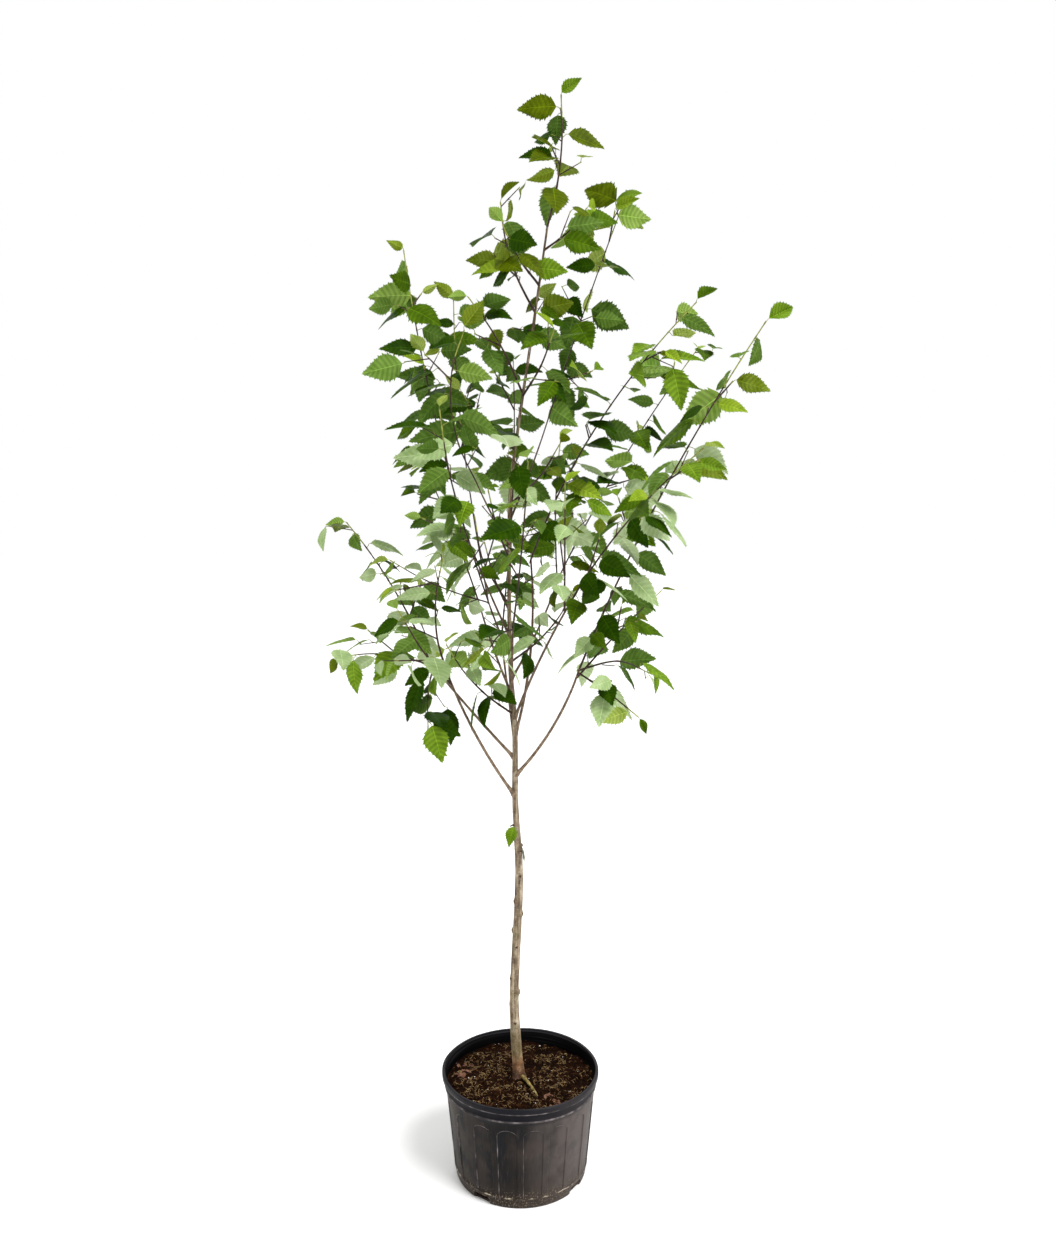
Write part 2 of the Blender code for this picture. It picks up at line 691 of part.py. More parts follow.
def grow_leaves(crown, points, owner, leaf_length, chance):
    """Leaves up one twig and one at its tip: place of the blade's base, turn and length."""
    grown = []
    for place, way, turn, share in leaf_places(points, chance):
        size = leaf_length * chance.uniform(*LEAF_SIZE) * (1 - LEAF_FADE * share ** 3)
        for attempt in range(LEAF_TRIES):
            angle = chance.uniform(*LEAF_ANGLE)
            roll = math.radians(chance.uniform(-LEAF_ROLL, LEAF_ROLL))
            petiole = petiole_way(way, turn, angle)
            frame = leaf_frame(petiole, roll)
            shrink = 1 - LEAF_SHRINK * attempt / LEAF_TRIES
            free = crown.leaf_is_free(place, frame, size * shrink, owner)
            if free:
                crown.leaves.append(free[1])
                grown.append((free[0], frame, size * shrink))
                break
            turn += 360 / LEAF_TRIES * (1 if attempt % 2 else -1) * (attempt + 1)
    tip, way = along(points, path_length(points) - TIP_LEAF_BACK)
    for _ in range(LEAF_TRIES):
        petiole = petiole_way(way, chance.uniform(0, 360), chance.uniform(*TIP_LEAF_ANGLE))
        frame = leaf_frame(petiole, math.radians(chance.uniform(-TIP_LEAF_ROLL, TIP_LEAF_ROLL)))
        size = leaf_length * chance.uniform(*TIP_LEAF_SIZE)
        free = crown.leaf_is_free(tip, frame, size, owner)
        if free:
            crown.leaves.append(free[1])
            grown.append((free[0], frame, size))
            break
    return grown


def grow_mass(name, crown, stem, leaf_length):
    """A mass by the seeded rule: side shoots up the stem, then leaves on the stem and on them."""
    chance = random.Random(f"{SEED} {name}")
    twigs = [(stem, STEM_RADIUS)]
    length = path_length(stem)
    distance = SIDE_FIRST + chance.uniform(0, SIDE_FIRST_STRAY)
    turn = chance.uniform(0, 360)
    while distance < length - SIDE_LAST:
        place, way = along(stem, distance)
        fade = SIDE_LENGTH_FOOT - SIDE_LENGTH_FADE * distance / length
        reach = chance.uniform(*SIDE_LENGTH) * fade
        for _ in range(LEAF_TRIES):
            turn += LEAF_TURN
            shoot = [place, place + petiole_way(way, turn, SIDE_ANGLE) * reach]
            if crown.shoot_is_free(shoot, name):
                crown.shoot_balls += balls_along(shoot, *SIDE_RADIUS, name)
                twigs.append((shoot, SIDE_RADIUS))
                break
        distance += SIDE_SPACING * chance.uniform(*SIDE_STRAY)
    leaves = []
    for points, _ in twigs:
        leaves += grow_leaves(crown, points, name, leaf_length, chance)
    return twigs, leaves


def clean_union(target):
    """Joins the flat faces that a union split, where that keeps it closed, and drops its scraps."""
    work = bmesh.new()
    work.from_mesh(target.data)
    bmesh.ops.dissolve_limit(work, angle_limit=FLAT_ANGLE, verts=work.verts, edges=work.edges)
    bmesh.ops.triangulate(work, faces=work.faces)
    if any(len(edge.link_faces) != 2 for edge in work.edges):
        work.clear()
        work.from_mesh(target.data)
    left = set(work.verts)
    islands = []
    while left:
        front = [left.pop()]
        island = set(front)
        while front:
            for edge in front.pop().link_edges:
                for corner in edge.verts:
                    if corner in left:
                        left.discard(corner)
                        island.add(corner)
                        front.append(corner)
        islands.append(island)
    islands.sort(key=len)
    scraps = [corner for island in islands[:-1] for corner in island]
    bmesh.ops.delete(work, geom=scraps, context="VERTS")
    work.to_mesh(target.data)
    work.free()


def make_mass(name, twigs, leaves, collection, finish):
    """One solid of a mass: its stem, joined by one union with its side shoots and leaves."""
    pieces = bpy.data.collections.new(f"{name}_pieces")
    bpy.context.scene.collection.children.link(pieces)
    stem, radii = twigs[0]
    mass = loft(name, twig_rings(stem, *radii), collection, finish)
    for points, radii in twigs[1:]:
        loft("shoot", twig_rings(points, *radii), pieces, finish)
    for base, frame, length in leaves:
        leaf = loft("leaf", leaf_rings(length), pieces, finish)
        leaf.matrix_world = Matrix.Translation(base) @ frame.to_4x4()
    union = mass.modifiers.new("join", "BOOLEAN")
    union.operation = "UNION"
    union.operand_type = "COLLECTION"
    union.solver = "MANIFOLD"  # EXACT leaves open edges on several masses
    union.collection = pieces
    apply_modifiers(mass)
    for piece in list(pieces.objects):
        bpy.data.objects.remove(piece)
    bpy.data.collections.remove(pieces)
    clean_union(mass)


def trunk_shoots():
    """Sizes of the short shoots that the trunk bears all round, in a spiral."""
    rows = {}
    for index in range(SHOOTS):
        share = index / (SHOOTS - 1)
        height = SHOOT_BOTTOM + (SHOOT_TOP - SHOOT_BOTTOM) * share
        azimuth = SHOOT_START + SHOOT_TURN * index
        length = SHOOT_LENGTH[0] + (SHOOT_LENGTH[1] - SHOOT_LENGTH[0]) * share
        rows[f"leader_shoot_{index + 1}"] = (height, azimuth, *SHOOT_LEAN, length, 0, SHOOT_LEAF)
    return rows


for item in list(bpy.data.objects):
    bpy.data.objects.remove(item)
parts = bpy.data.collections.new("river_birch")
guides = bpy.data.collections.new("cutters")
for group in (parts, guides):
    bpy.context.scene.collection.children.link(group)

birch_bark = material("birch_bark", (0.330, 0.235, 0.165), 0.75)
birch_leaf = material("birch_leaf", (0.075, 0.190, 0.030), 0.5)

make_pot(parts, guides)
make_soil(parts)
trunk_line = make_trunk(parts, birch_bark)
bough_lines = {
    name: make_bough(name, sizes, trunk_line, parts, guides, birch_bark) for name, sizes in BOUGHS.items()
}

masses = {**MASSES, **trunk_shoots()}
stems_at_tips = {}
stem_lines = {name: stem_path(sizes, bough_lines, stems_at_tips) for name, sizes in masses.items()}

limb_balls = balls_along(trunk_line[0], trunk_line[1][0], trunk_line[1][-1], "trunk")
for name, (points, radii) in bough_lines.items():
    limb_balls += balls_along(points, radii[0], radii[-1], name)
crown = Crown(limb_balls, stem_lines)
leaf_count = 0
for name, sizes in masses.items():
    mass_twigs, mass_leaves = grow_mass(name, crown, stem_lines[name], sizes[-1])
    make_mass(name, mass_twigs, mass_leaves, parts, birch_leaf)
    leaf_count += len(mass_leaves)
print("leaves", leaf_count, "nodes", len(parts.objects))
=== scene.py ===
"""A young river birch in a round nursery pot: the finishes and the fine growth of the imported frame.

Metres, +Z up. The origin is the centre of the pot's flat underside, and -Y looks at the viewer.
Azimuths are in degrees from +X towards +Y, and a lean is in degrees from the vertical.
"""

import math
import random
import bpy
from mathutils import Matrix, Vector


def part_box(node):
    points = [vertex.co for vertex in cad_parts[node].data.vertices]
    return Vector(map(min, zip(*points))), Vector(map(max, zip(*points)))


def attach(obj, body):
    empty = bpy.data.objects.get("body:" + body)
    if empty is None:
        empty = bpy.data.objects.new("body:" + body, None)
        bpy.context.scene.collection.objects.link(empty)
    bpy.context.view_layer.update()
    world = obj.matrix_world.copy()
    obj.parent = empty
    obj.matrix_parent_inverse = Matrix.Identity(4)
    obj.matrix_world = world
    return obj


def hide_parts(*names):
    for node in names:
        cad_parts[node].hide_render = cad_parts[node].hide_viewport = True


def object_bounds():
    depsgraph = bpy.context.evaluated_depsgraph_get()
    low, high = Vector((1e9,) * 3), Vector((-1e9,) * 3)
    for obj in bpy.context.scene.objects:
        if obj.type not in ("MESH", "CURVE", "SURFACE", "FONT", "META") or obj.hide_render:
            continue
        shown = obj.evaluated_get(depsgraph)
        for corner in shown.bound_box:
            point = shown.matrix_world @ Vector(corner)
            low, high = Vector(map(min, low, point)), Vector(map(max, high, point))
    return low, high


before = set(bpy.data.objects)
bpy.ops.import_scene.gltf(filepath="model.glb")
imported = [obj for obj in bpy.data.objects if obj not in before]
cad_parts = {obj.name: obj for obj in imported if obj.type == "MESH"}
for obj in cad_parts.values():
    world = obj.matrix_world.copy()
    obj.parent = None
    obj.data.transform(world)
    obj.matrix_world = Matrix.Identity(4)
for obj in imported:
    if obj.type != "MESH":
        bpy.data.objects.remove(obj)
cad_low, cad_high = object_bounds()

from types import SimpleNamespace

import bmesh
import bpy
import numpy as np
from mathutils import Matrix, Vector, noise
from mathutils.bvhtree import BVHTree
from mathutils.kdtree import KDTree

# Camera: the tree is seen from straight in front, with the lens at chest height and tipped a
# little down, so that the pot is seen from above and the crown from its side.
LENS_PLACE = (0.014, -1.860, 1.240)
LENS_TIP = 5.5
LENS_LENGTH = 28.57  # millimetres, and the sensor's longer side
SENSOR = 36


def placed(name, data):
    """A new object in the scene."""
    made = bpy.data.objects.new(name, data)
    bpy.context.scene.collection.objects.link(made)
    return made


lens = bpy.data.cameras.new("camera")
lens.lens = LENS_LENGTH
lens.sensor_width = SENSOR
camera = placed("camera", lens)
camera.location = LENS_PLACE
camera.rotation_euler = (math.radians(90 - LENS_TIP), 0, 0)
bpy.context.scene.camera = camera

# Floor and light: a studio with a wide pale floor of matt vinyl and white walls. One broad soft
# light stands high at the front right, and two weak ones lighten the left side and the back.
FLOOR_RADIUS = 60
FLOOR_CLOUD = 0.6
FLOOR_GRAIN = 0.004
ROOM_TOP, ROOM_SIDE, ROOM_BELOW = 0.70, 0.44, 0.36
KEY_TURN = (38, 0, 52)
KEY_SPREAD = 30
KEY_POWER = 3.2
SOFT_LIGHTS = (  # place, width in metres, power in watts
    ((-2.6, -1.8, 2.2), 2.0, 26),
    ((-0.6, 2.6, 2.8), 2.4, 40),
)
LIGHT_AIM = Vector((0, 0, 1.0))


def linear(code):
    """An sRGB hex colour as linear red, green, blue and alpha."""
    values = [int(code[start:start + 2], 16) / 255 for start in (1, 3, 5)]
    return (*(v / 12.92 if v <= 0.04045 else ((v + 0.055) / 1.055) ** 2.4 for v in values), 1)


def node(tree, kind, sockets=(), out=0, stops=(), **settings):
    """Adds a node with its settings, its values and links by socket and a ramp's colour stops."""
    made = tree.nodes.new("ShaderNode" + kind)
    for name, value in settings.items():
        setattr(made, name, value)
    for socket, value in dict(sockets).items():
        if isinstance(value, bpy.types.NodeSocket):
            tree.links.new(value, made.inputs[socket])
        else:
            made.inputs[socket].default_value = value
    if stops:
        points = made.color_ramp.elements
        points.remove(points[1])
        points[0].position, points[0].color = stops[0][0], linear(stops[0][1])
        for place, code in stops[1:]:
            points.new(place).color = linear(code)
    return made.outputs[out] if made.outputs else None


def finish(name, ground, stops, coats=(), relief=(), deep=0.0002, crust=False, dull=0.8, ior=1.45, gloss=0.5):
    """A material: a mottled ground, coats of colour over it, a grain in relief, and its gloss.

    A pattern is noise as wide as the real thing, in metres or in metres along X, Y and Z, with its
    detail. The ground is one, with its colour stops. A coat is a colour, or stops for the ground's
    pattern, and its masks: each a pattern or an axis, where it sets in, where it is full, and the
    shares there. Relief is one pattern or two, and a crust adds the last coat's own thickness.
    """
    made = bpy.data.materials.new(name)
    made.use_nodes = True
    tree = made.node_tree
    tree.nodes.clear()
    place = node(tree, "TexCoord", out="Object")
    drawn = {}

    def source(what):
        """A pattern's noise or an axis, which all that follow it share."""
        if what not in drawn:
            if callable(what):
                drawn[what] = what(tree, place)
            elif isinstance(what, str):
                drawn[what] = node(tree, "SeparateXYZ", {0: place}, out=what)
            else:
                width, detail, *rough = what
                at, scale = place, 1 / width if isinstance(width, float) else 1.0
                if not isinstance(width, float):
                    at = node(tree, "Mapping", {"Vector": place, "Scale": [1 / size for size in width]})
                values = {"Vector": at, "Scale": scale, "Detail": detail, "Roughness": (*rough, 0.5)[0]}
                drawn[what] = node(tree, "TexNoise", values)
        return drawn[what]

    tone = node(tree, "ValToRGB", {"Fac": source(ground)}, stops=stops)
    for colour, *masks in coats:
        share = None
        for what, *fade in masks:
            mask = node(tree, "MapRange", {0: source(what), **dict(enumerate(fade, 1))})
            share = node(tree, "Math", {0: share, 1: mask}, operation="MULTIPLY") if share else mask
        over = linear(colour) if isinstance(colour, str) else node(
            tree, "ValToRGB", {"Fac": source(ground)}, stops=colour)
        tone = node(tree, "Mix", {0: share, 6: tone, 7: over}, out=2, data_type="RGBA")
    if isinstance(dull, tuple):
        what, *fade = dull
        dull = node(tree, "MapRange", {0: source(what), **dict(enumerate(fade, 1))})
    skin = {"Base Color": tone, "Roughness": dull, "IOR": ior, "Specular IOR Level": gloss}
    height = None
    for rise in [source(what) for what in relief] + ([share] if crust else []):
        height = node(tree, "Math", {0: height, 1: rise}, operation="ADD") if height else rise
    if height:
        skin["Normal"] = node(tree, "Bump", {"Height": height, "Distance": deep})
    node(tree, "OutputMaterial", {"Surface": node(tree, "BsdfPrincipled", skin)})
    return made


# Calendered studio vinyl: matt and even, so it scatters the light and shows only a soft shadow. Its
# own grain is under a millimetre, and is drawn 4 mm wide so that it shows at all.
vinyl = finish("matt_studio_vinyl", (FLOOR_CLOUD, 2.0), ((0.3, "#fafaf9"), (0.7, "#fcfcfb")),
               relief=[(FLOOR_GRAIN, 2.0)], dull=0.85, ior=1.5)
shape = bmesh.new()
bmesh.ops.create_circle(shape, cap_ends=True, segments=96, radius=FLOOR_RADIUS)
floor_mesh = bpy.data.meshes.new("studio_floor")
shape.to_mesh(floor_mesh)
shape.free()
floor_mesh.materials.append(vinyl)
floor = placed("studio_floor", floor_mesh)

room = bpy.data.worlds.new("white_room")
room.use_nodes = True
bpy.context.scene.world = room
tree = room.node_tree
tree.nodes.clear()
upward = node(tree, "SeparateXYZ", {0: node(tree, "TexCoord", out="Generated")}, out="Z")
over = node(tree, "MapRange", {0: upward, 1: 0.0, 2: 1.0, 3: 0.0, 4: ROOM_TOP - ROOM_SIDE})
under = node(tree, "MapRange", {0: upward, 1: -0.3, 2: 0.0, 3: ROOM_BELOW, 4: ROOM_SIDE})
brightness = node(tree, "Math", {0: over, 1: under}, operation="ADD")
lighting = node(tree, "Background", {"Color": (1, 1, 1, 1), "Strength": brightness})
backdrop = node(tree, "Background", {"Color": (1, 1, 1, 1), "Strength": 1.0})
seen = node(tree, "LightPath", out="Is Camera Ray")
node(tree, "OutputWorld", {"Surface": node(tree, "MixShader", {0: seen, 1: lighting, 2: backdrop})})

key = bpy.data.lights.new("key_light", "SUN")
key.energy = KEY_POWER
key.angle = math.radians(KEY_SPREAD)
placed("key_light", key).rotation_euler = [math.radians(angle) for angle in KEY_TURN]
for number, (spot, width, power) in enumerate(SOFT_LIGHTS, 1):
    lamp = bpy.data.lights.new(f"soft_light_{number}", "AREA")
    lamp.size = width
    lamp.energy = power
    box = placed(lamp.name, lamp)
    box.location = spot
    box.rotation_euler = (LIGHT_AIM - Vector(spot)).to_track_quat("-Z", "Y").to_euler()

bpy.context.scene.view_settings.view_transform = "Standard"

# Pot: a squat twelve inch nursery pot, moulded from recycled black polypropylene. It has a rolled
# lip, a plain band under it, eighteen arched panels pressed into its side and four drain notches
# at its foot. Its ribs are scuffed dull, with pale lines on its edges that are wear and painted
# highlight, and splashed mix has dried on it just above the ground.
RIM_RADIUS, _, POT_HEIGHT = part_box("pot")[1]
WALL = 0.0028
BAND_RADIUS = RIM_RADIUS - 0.0055
SIDE_RADIUS_TOP = RIM_RADIUS - 0.0075
LIP_FOOT = POT_HEIGHT - 0.011
BAND_FOOT = POT_HEIGHT - 0.030
BASE_RADIUS = 0.1285
BASE_CORNER = 0.008
FLOOR_LEVEL = 0.004
FLOOR_HOLE = 0.060
PANELS = 18
PANEL_HALF = math.radians(7.8)
PANEL_EDGE = math.radians(0.45)
PANEL_BOTTOM = 0.024
PANEL_TOP = 0.160
PANEL_DEPTH = 0.0018
ARCH_RISE = 0.0140
ARCH_EDGE = 0.0012
PANEL_ROWS = 14
CROWN_ROWS = 5
WARP = 0.0024
POT_GLOSS = 0.09  # years of dust and sun leave black plastic less glossy than new
DRAINS = 4
DRAIN_TURN = math.radians(10)
DRAIN_SIZE = (0.024, 0.036, 0.028)
DRAIN_SHIFT = 0.0042
ROUND = 0.0005
RIM_LINE = (  # a radius and a height, and shifts out and up from them: lip, its underside, band, bead
    (RIM_RADIUS, POT_HEIGHT, ((-0.0045, -0.0004), (-0.0032, 0), (-0.0012, 0), (-0.0003, -0.0008),
                              (0, -0.0026))),
    (RIM_RADIUS, LIP_FOOT, ((-0.0001, 0.0024), (-0.0005, 0.0006), (-0.0015, 0), (-0.0042, 0.0003))),
    (BAND_RADIUS, LIP_FOOT, ((-0.0004, -0.0010), (-0.0016, -0.0050), (-0.0014, -0.0100))),
    (BAND_RADIUS, BAND_FOOT, ((-0.0002, 0.0048), (0.0006, 0.0034), (0.0007, 0.0020), (-0.0001, 0.0006),
                              (-0.0014, -0.0004))),
    (SIDE_RADIUS_TOP, BAND_FOOT, ((0, -3 * ROUND),)),
)
SKIRT = ((0.0004, 0.0212), (0.0002, 0.0200), (-0.0006, 0.0188), (-0.0009, 0.0140), (-0.0010, 0.0080))
FOOT_LINE = (  # under the foot and up the inside to the rim
    (BASE_RADIUS - 0.0018, 0.0035), (BASE_RADIUS - 0.0030, 0.0008), (BASE_RADIUS - 0.0060, 0.0),
    (FLOOR_HOLE, 0.0), (FLOOR_HOLE, FLOOR_LEVEL), (BASE_RADIUS - WALL - 0.003, FLOOR_LEVEL),
    (SIDE_RADIUS_TOP - WALL, BAND_FOOT - 3 * ROUND), (BAND_RADIUS - WALL, LIP_FOOT - ROUND),
    (BAND_RADIUS - WALL + 2 * ROUND, LIP_FOOT + 4 * ROUND), (BAND_RADIUS - ROUND, POT_HEIGHT - 4 * ROUND),
    (BAND_RADIUS, POT_HEIGHT - ROUND),
)
INNER_ROWS = 7
WORN_HIGHLIGHT_ROWS = (5, 12, 13)  # the lip's lower edge and the band's bead, which rub against other pots and take painted highlights


def joined(name, vertices, faces, finishes, which=None, sharp=40):
    """A smooth shaded piece from arrays, its edges sharp past an angle, riding on the root."""
    mesh = bpy.data.meshes.new(name)
    mesh.from_pydata([tuple(point) for point in vertices], [], [tuple(face) for face in faces])
    for skin in finishes:
        mesh.materials.append(skin)
    if which is not None:
        mesh.polygons.foreach_set("material_index", np.asarray(which, dtype=np.int32))
    mesh.shade_smooth()
    mesh.set_sharp_from_angle(angle=math.radians(sharp))
    made = placed(name, mesh)
    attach(made, "root")
    return made


def side_radius(height):
    """The pot's side at a height, a straight taper below the band."""
    share = (height - BASE_CORNER) / (BAND_FOOT - BASE_CORNER)
    return BASE_RADIUS + (SIDE_RADIUS_TOP - BASE_RADIUS) * share


def pot_column(off):
    """Radii and heights down the pot's outside, then up its inside, at a turn off a panel's middle."""
    rows = [(radius + out, height + up) for radius, height, shifts in RIM_LINE for out, up in shifts]
    arch = PANEL_TOP - ARCH_RISE + ARCH_RISE * math.sqrt(max(0.0, 1 - (off / PANEL_HALF) ** 2))
    pressed = min(max((PANEL_HALF - abs(off)) / PANEL_EDGE, 0.0), 1.0)
    top, bottom = BAND_FOOT - 3 * ROUND, PANEL_BOTTOM + ARCH_EDGE
    for row in range(1, CROWN_ROWS + 1):
        height = top + (arch + ARCH_EDGE - top) * row / CROWN_ROWS
        rows.append((side_radius(height), height))
    for row in range(PANEL_ROWS + 1):
        height = arch - ARCH_EDGE + (bottom - arch + ARCH_EDGE) * row / PANEL_ROWS
        rows.append((side_radius(height) - PANEL_DEPTH * pressed, height))
    return rows + [(side_radius(height) + out, height) for out, height in SKIRT] + list(FOOT_LINE)


pitch = math.tau / PANELS
panel_offs = [share * PANEL_HALF for share in (0.0, 0.36, 0.66, 0.84, 0.94)]
panel_offs += [PANEL_HALF - PANEL_EDGE, PANEL_HALF, PANEL_HALF + PANEL_EDGE]
offs = sorted({-off for off in panel_offs} | set(panel_offs)) + [pitch / 2]
columns = []
for panel in range(PANELS):
    for off in offs:
        turn = pitch * (panel + 0.5) - math.pi / 2 + off
        wave = noise.noise(Vector((math.cos(turn) * 1.3, math.sin(turn) * 1.3, 0.3))) * WARP
        column = []
        for radius, height in pot_column(off if off < pitch / 2 else PANEL_HALF * 2):
            out = radius + wave * (height / POT_HEIGHT) ** 2
            column.append((out * math.cos(turn), out * math.sin(turn), height))
        columns.append(column)
ring = len(columns[0])
arch_row = sum(len(shifts) for _, _, shifts in RIM_LINE) - 1 + CROWN_ROWS
left_edge, right_edge = 1, len(offs) - 4
pot_faces, pot_finish = [], []
for index in range(len(columns)):
    here, beside = index * ring, (index + 1) % len(columns) * ring
    strip = index % len(offs)
    for row in range(ring):
        after = (row + 1) % ring
        pot_faces.append((here + row, here + after, beside + after, beside + row))
        # painted highlight: of each panel's edges only the left one, which faces the key light, takes the
        # pale rubbed finish
        on_lit_panel_edge = strip == left_edge and arch_row <= row <= arch_row + PANEL_ROWS
        on_arch = left_edge < strip < right_edge and row == arch_row
        # painted shade: the inside of the rim takes the darker inner wall finish
        inside = ring - INNER_ROWS <= row < ring - 1
        pot_finish.append(2 if inside else int(on_lit_panel_edge or on_arch or row in WORN_HIGHLIGHT_ROWS))


def off_tide_line(tree, place):
    """How far a place is from the wavering line that standing water left round the pot's foot."""
    height = node(tree, "SeparateXYZ", {0: place}, out="Z")
    waver = node(tree, "TexNoise", {"Vector": place, "Scale": 1 / 0.016, "Detail": 2.0})
    waver = node(tree, "MapRange", {0: waver, 1: 0.3, 2: 0.7, 3: 0.0172, 4: 0.0222})
    off = node(tree, "Math", {0: height, 1: waver}, operation="SUBTRACT")
    return node(tree, "Math", {0: off}, operation="ABSOLUTE")


# Recycled polypropylene, injection moulded in black: a dull waxy skin, brown-black where mix has
# stained it, with the wear that its coats name. Its pale bloom on the right is painted sheen, and its
# damp marks are painted shade where they gather on the left. The flow marks of the melt are about
# 1 mm apart and are drawn 3 mm apart, and pores of 0.2 mm are drawn 1.2 mm wide, so that they show.
CLOUDS, PORES = (0.045, 4.0), (0.0012, 3.0)
plastic = finish("moulded_black_polypropylene", (0.075, 2.0),
                 ((0.36, "#070708"), (0.50, "#151211"), (0.64, "#28211d")), (
    ("#3d3429", ("X", -0.080, -0.130, 0.0, 0.55)),  # dust on the shaded side
    ("#574f4c", ("X", 0.0, 0.085, 0.06, 0.86), (CLOUDS, 0.12, 0.50)),  # painted sheen on the right side, drawn as a chalky bloom
    ("#0b0f14", (((0.026, 0.026, 0.045), 3.0), 0.50, 0.60, 0.0, 0.78), ("X", 0.03, -0.03, 0.22, 1.0)),  # damp stains, and painted shade where they gather on the left, away from the key light
    ("#544d4a", (((0.003, 0.003, 0.042), 2.0), 0.54, 0.74, 0.0, 0.16)),  # flow marks down its draw
    ("#111219", ("Z", 0.168, 0.180, 0.0, 0.80)),  # the band, which is less stained
    ("#332a22", ("Z", 0.070, 0.010, 0.0, 0.6)),  # splashed mix
    ("#77695a", ((0.0028, 2.0), 0.56, 0.66, 0.0, 0.8), ("Z", 0.040, 0.022)),  # grit round the foot
    ("#b5a992", (off_tide_line, 0.0016, 0.0004), ((0.016, 8.0, 0.7), 0.50, 0.58)),  # crust of a tide line
), [PORES], deep=0.00025, crust=True, dull=(CLOUDS, 0.3, 0.7, 0.38, 0.56), ior=1.49, gloss=POT_GLOSS)

# The same plastic where pots rub in a stack: the skin is scuffed through to a chalky grey, which
# draws the edges of its panels, lip and bead as thin, uneven pale lines. These are painted highlight
# as well as wear: of each panel's two edges only the left one, which faces the key light, has one.
worn_edge_highlight = finish("rubbed_plastic_edge", (0.020, 3.0), ((0.34, "#262323"), (0.50, "#4a4546"), (0.68, "#7d7575")),
              relief=[PORES], dull=0.55, ior=1.49, gloss=POT_GLOSS)

# The same plastic inside the rim, darker than outside as painted shade within the pot: damp and
# nearly black where neither sun nor other pots reached it, with thin grey rings where it slid off
# the mould's core, which are also painted highlights on its ring steps.
CORE_RINGS = ((0.25, 0.25, 0.004), 2.0)
shaded_inner_wall = finish("clean_inner_wall", CORE_RINGS, ((0.44, "#010102"), (0.58, "#070709"), (0.68, "#2b2a2d")),
                    relief=[CORE_RINGS], dull=0.45, ior=1.49, gloss=POT_GLOSS)
pot_points = [point for column in columns for point in column]
pot = joined("moulded_pot", pot_points, pot_faces, [plastic, worn_edge_highlight, shaded_inner_wall], pot_finish, sharp=28)
notches = bmesh.new()
for index in range(DRAINS):
    azimuth = math.tau * (index + 0.5) / DRAINS + DRAIN_TURN
    place = Matrix.Rotation(azimuth, 4, "Z") @ Matrix.Translation((BASE_RADIUS + DRAIN_SHIFT, 0, 0))
    bmesh.ops.create_cube(notches, size=1, matrix=place @ Matrix.Diagonal((*DRAIN_SIZE, 1)))
bmesh.ops.bevel(notches, geom=notches.edges, offset=0.005, segments=3, affect="EDGES", profile=0.5)
notch_mesh = bpy.data.meshes.new("drain_notches")
notches.to_mesh(notch_mesh)
notches.free()
notch_tool = placed("drain_notches", notch_mesh)
drill = pot.modifiers.new("notches", "BOOLEAN")
drill.operation = "DIFFERENCE"
drill.solver = "EXACT"
drill.object = notch_tool
bpy.context.view_layer.update()
pot.data = bpy.data.meshes.new_from_object(pot.evaluated_get(bpy.context.evaluated_depsgraph_get()))
pot.modifiers.clear()
bpy.data.objects.remove(notch_tool)
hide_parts("pot")

# Potting mix: moist composted bark with fibre, filled to a thumb's width below the rim. It has
# settled in clods, with coarse chips of bark and pale wood shreds lying loose on top.
SOIL_LEVEL = 0.186
SOIL_EDGE = 0.1436
SOIL_DIP = 0.005
SOIL_FOOT = FLOOR_LEVEL + 0.0005
SOIL_SIDE = ((0.1398, 0.170), (BASE_RADIUS - WALL - 0.004, SOIL_FOOT))  # down inside the wall
SOIL_AROUND = 160
SOIL_RINGS = 60
CLOD = 0.0042
CLOD_WIDTH = 0.030
CRUMB = 0.0012
CRUMB_WIDTH = 0.006
MIX_SEED = 11
MIX_GLOSS = 0.03  # loose fibre scatters light and hardly shines
CHIPS = {  # finish: its dark and light, count, shortest and longest, width share, lift
    "dark_bark_chip": ("#080301", "#22120a", 1700, 0.004, 0.014, 0.42, 0.0),
    "brown_bark_chip": ("#2b180d", "#573b25", 560, 0.003, 0.012, 0.34, 0.0),
    "tan_wood_shred": ("#6d5334", "#a3865c", 260, 0.003, 0.010, 0.12, 0.0005),
    "perlite_crumb": ("#e4e0d6", "#fbf9f4", 46, 0.0012, 0.0028, 0.90, 0.0012),
}
RED_CHIP = ("#4a2f24", "#7c5a4a")
RED_HEAPS = ((-0.117, 0.010, 0.016, 12), (-0.112, 0.052, 0.012, 7), (0.066, -0.092, 0.016, 9))
RED_EDGE = 0.134
HOLLOWS = ((0.020, 0.048, 0.026, 0.009), (0.042, 0.112, 0.030, 0.005))  # place, width and depth
HOLLOW_BARE = (0.0005, 0.010)  # a hollow deeper than some depth between these holds nothing loose
TRUNK_SIDE = -0.004  # where the trunk stands along X, and how near to it nothing lies
TRUNK_CLEAR = 0.014
FIBRES = 640
FIBRE = ("#664d30", "#c4a878")
TUFT = 0.030  # the fibres and shreds lie in tufts of about this width
FIBRE_LENGTH = (0.004, 0.015)
FIBRE_RADIUS = (0.00012, 0.00026)
FIBRE_RINGS = 6
ASKEW = (0.31, 0.17, 0.94)  # a way that no limb, twig or fibre runs along


def hollow_depth(x, y):
    """How far the two hollows that watering washed out sink the mix at a place."""
    return sum(deep * math.exp(-((x - at_x) ** 2 + (y - at_y) ** 2) / wide ** 2)
               for at_x, at_y, wide, deep in HOLLOWS)


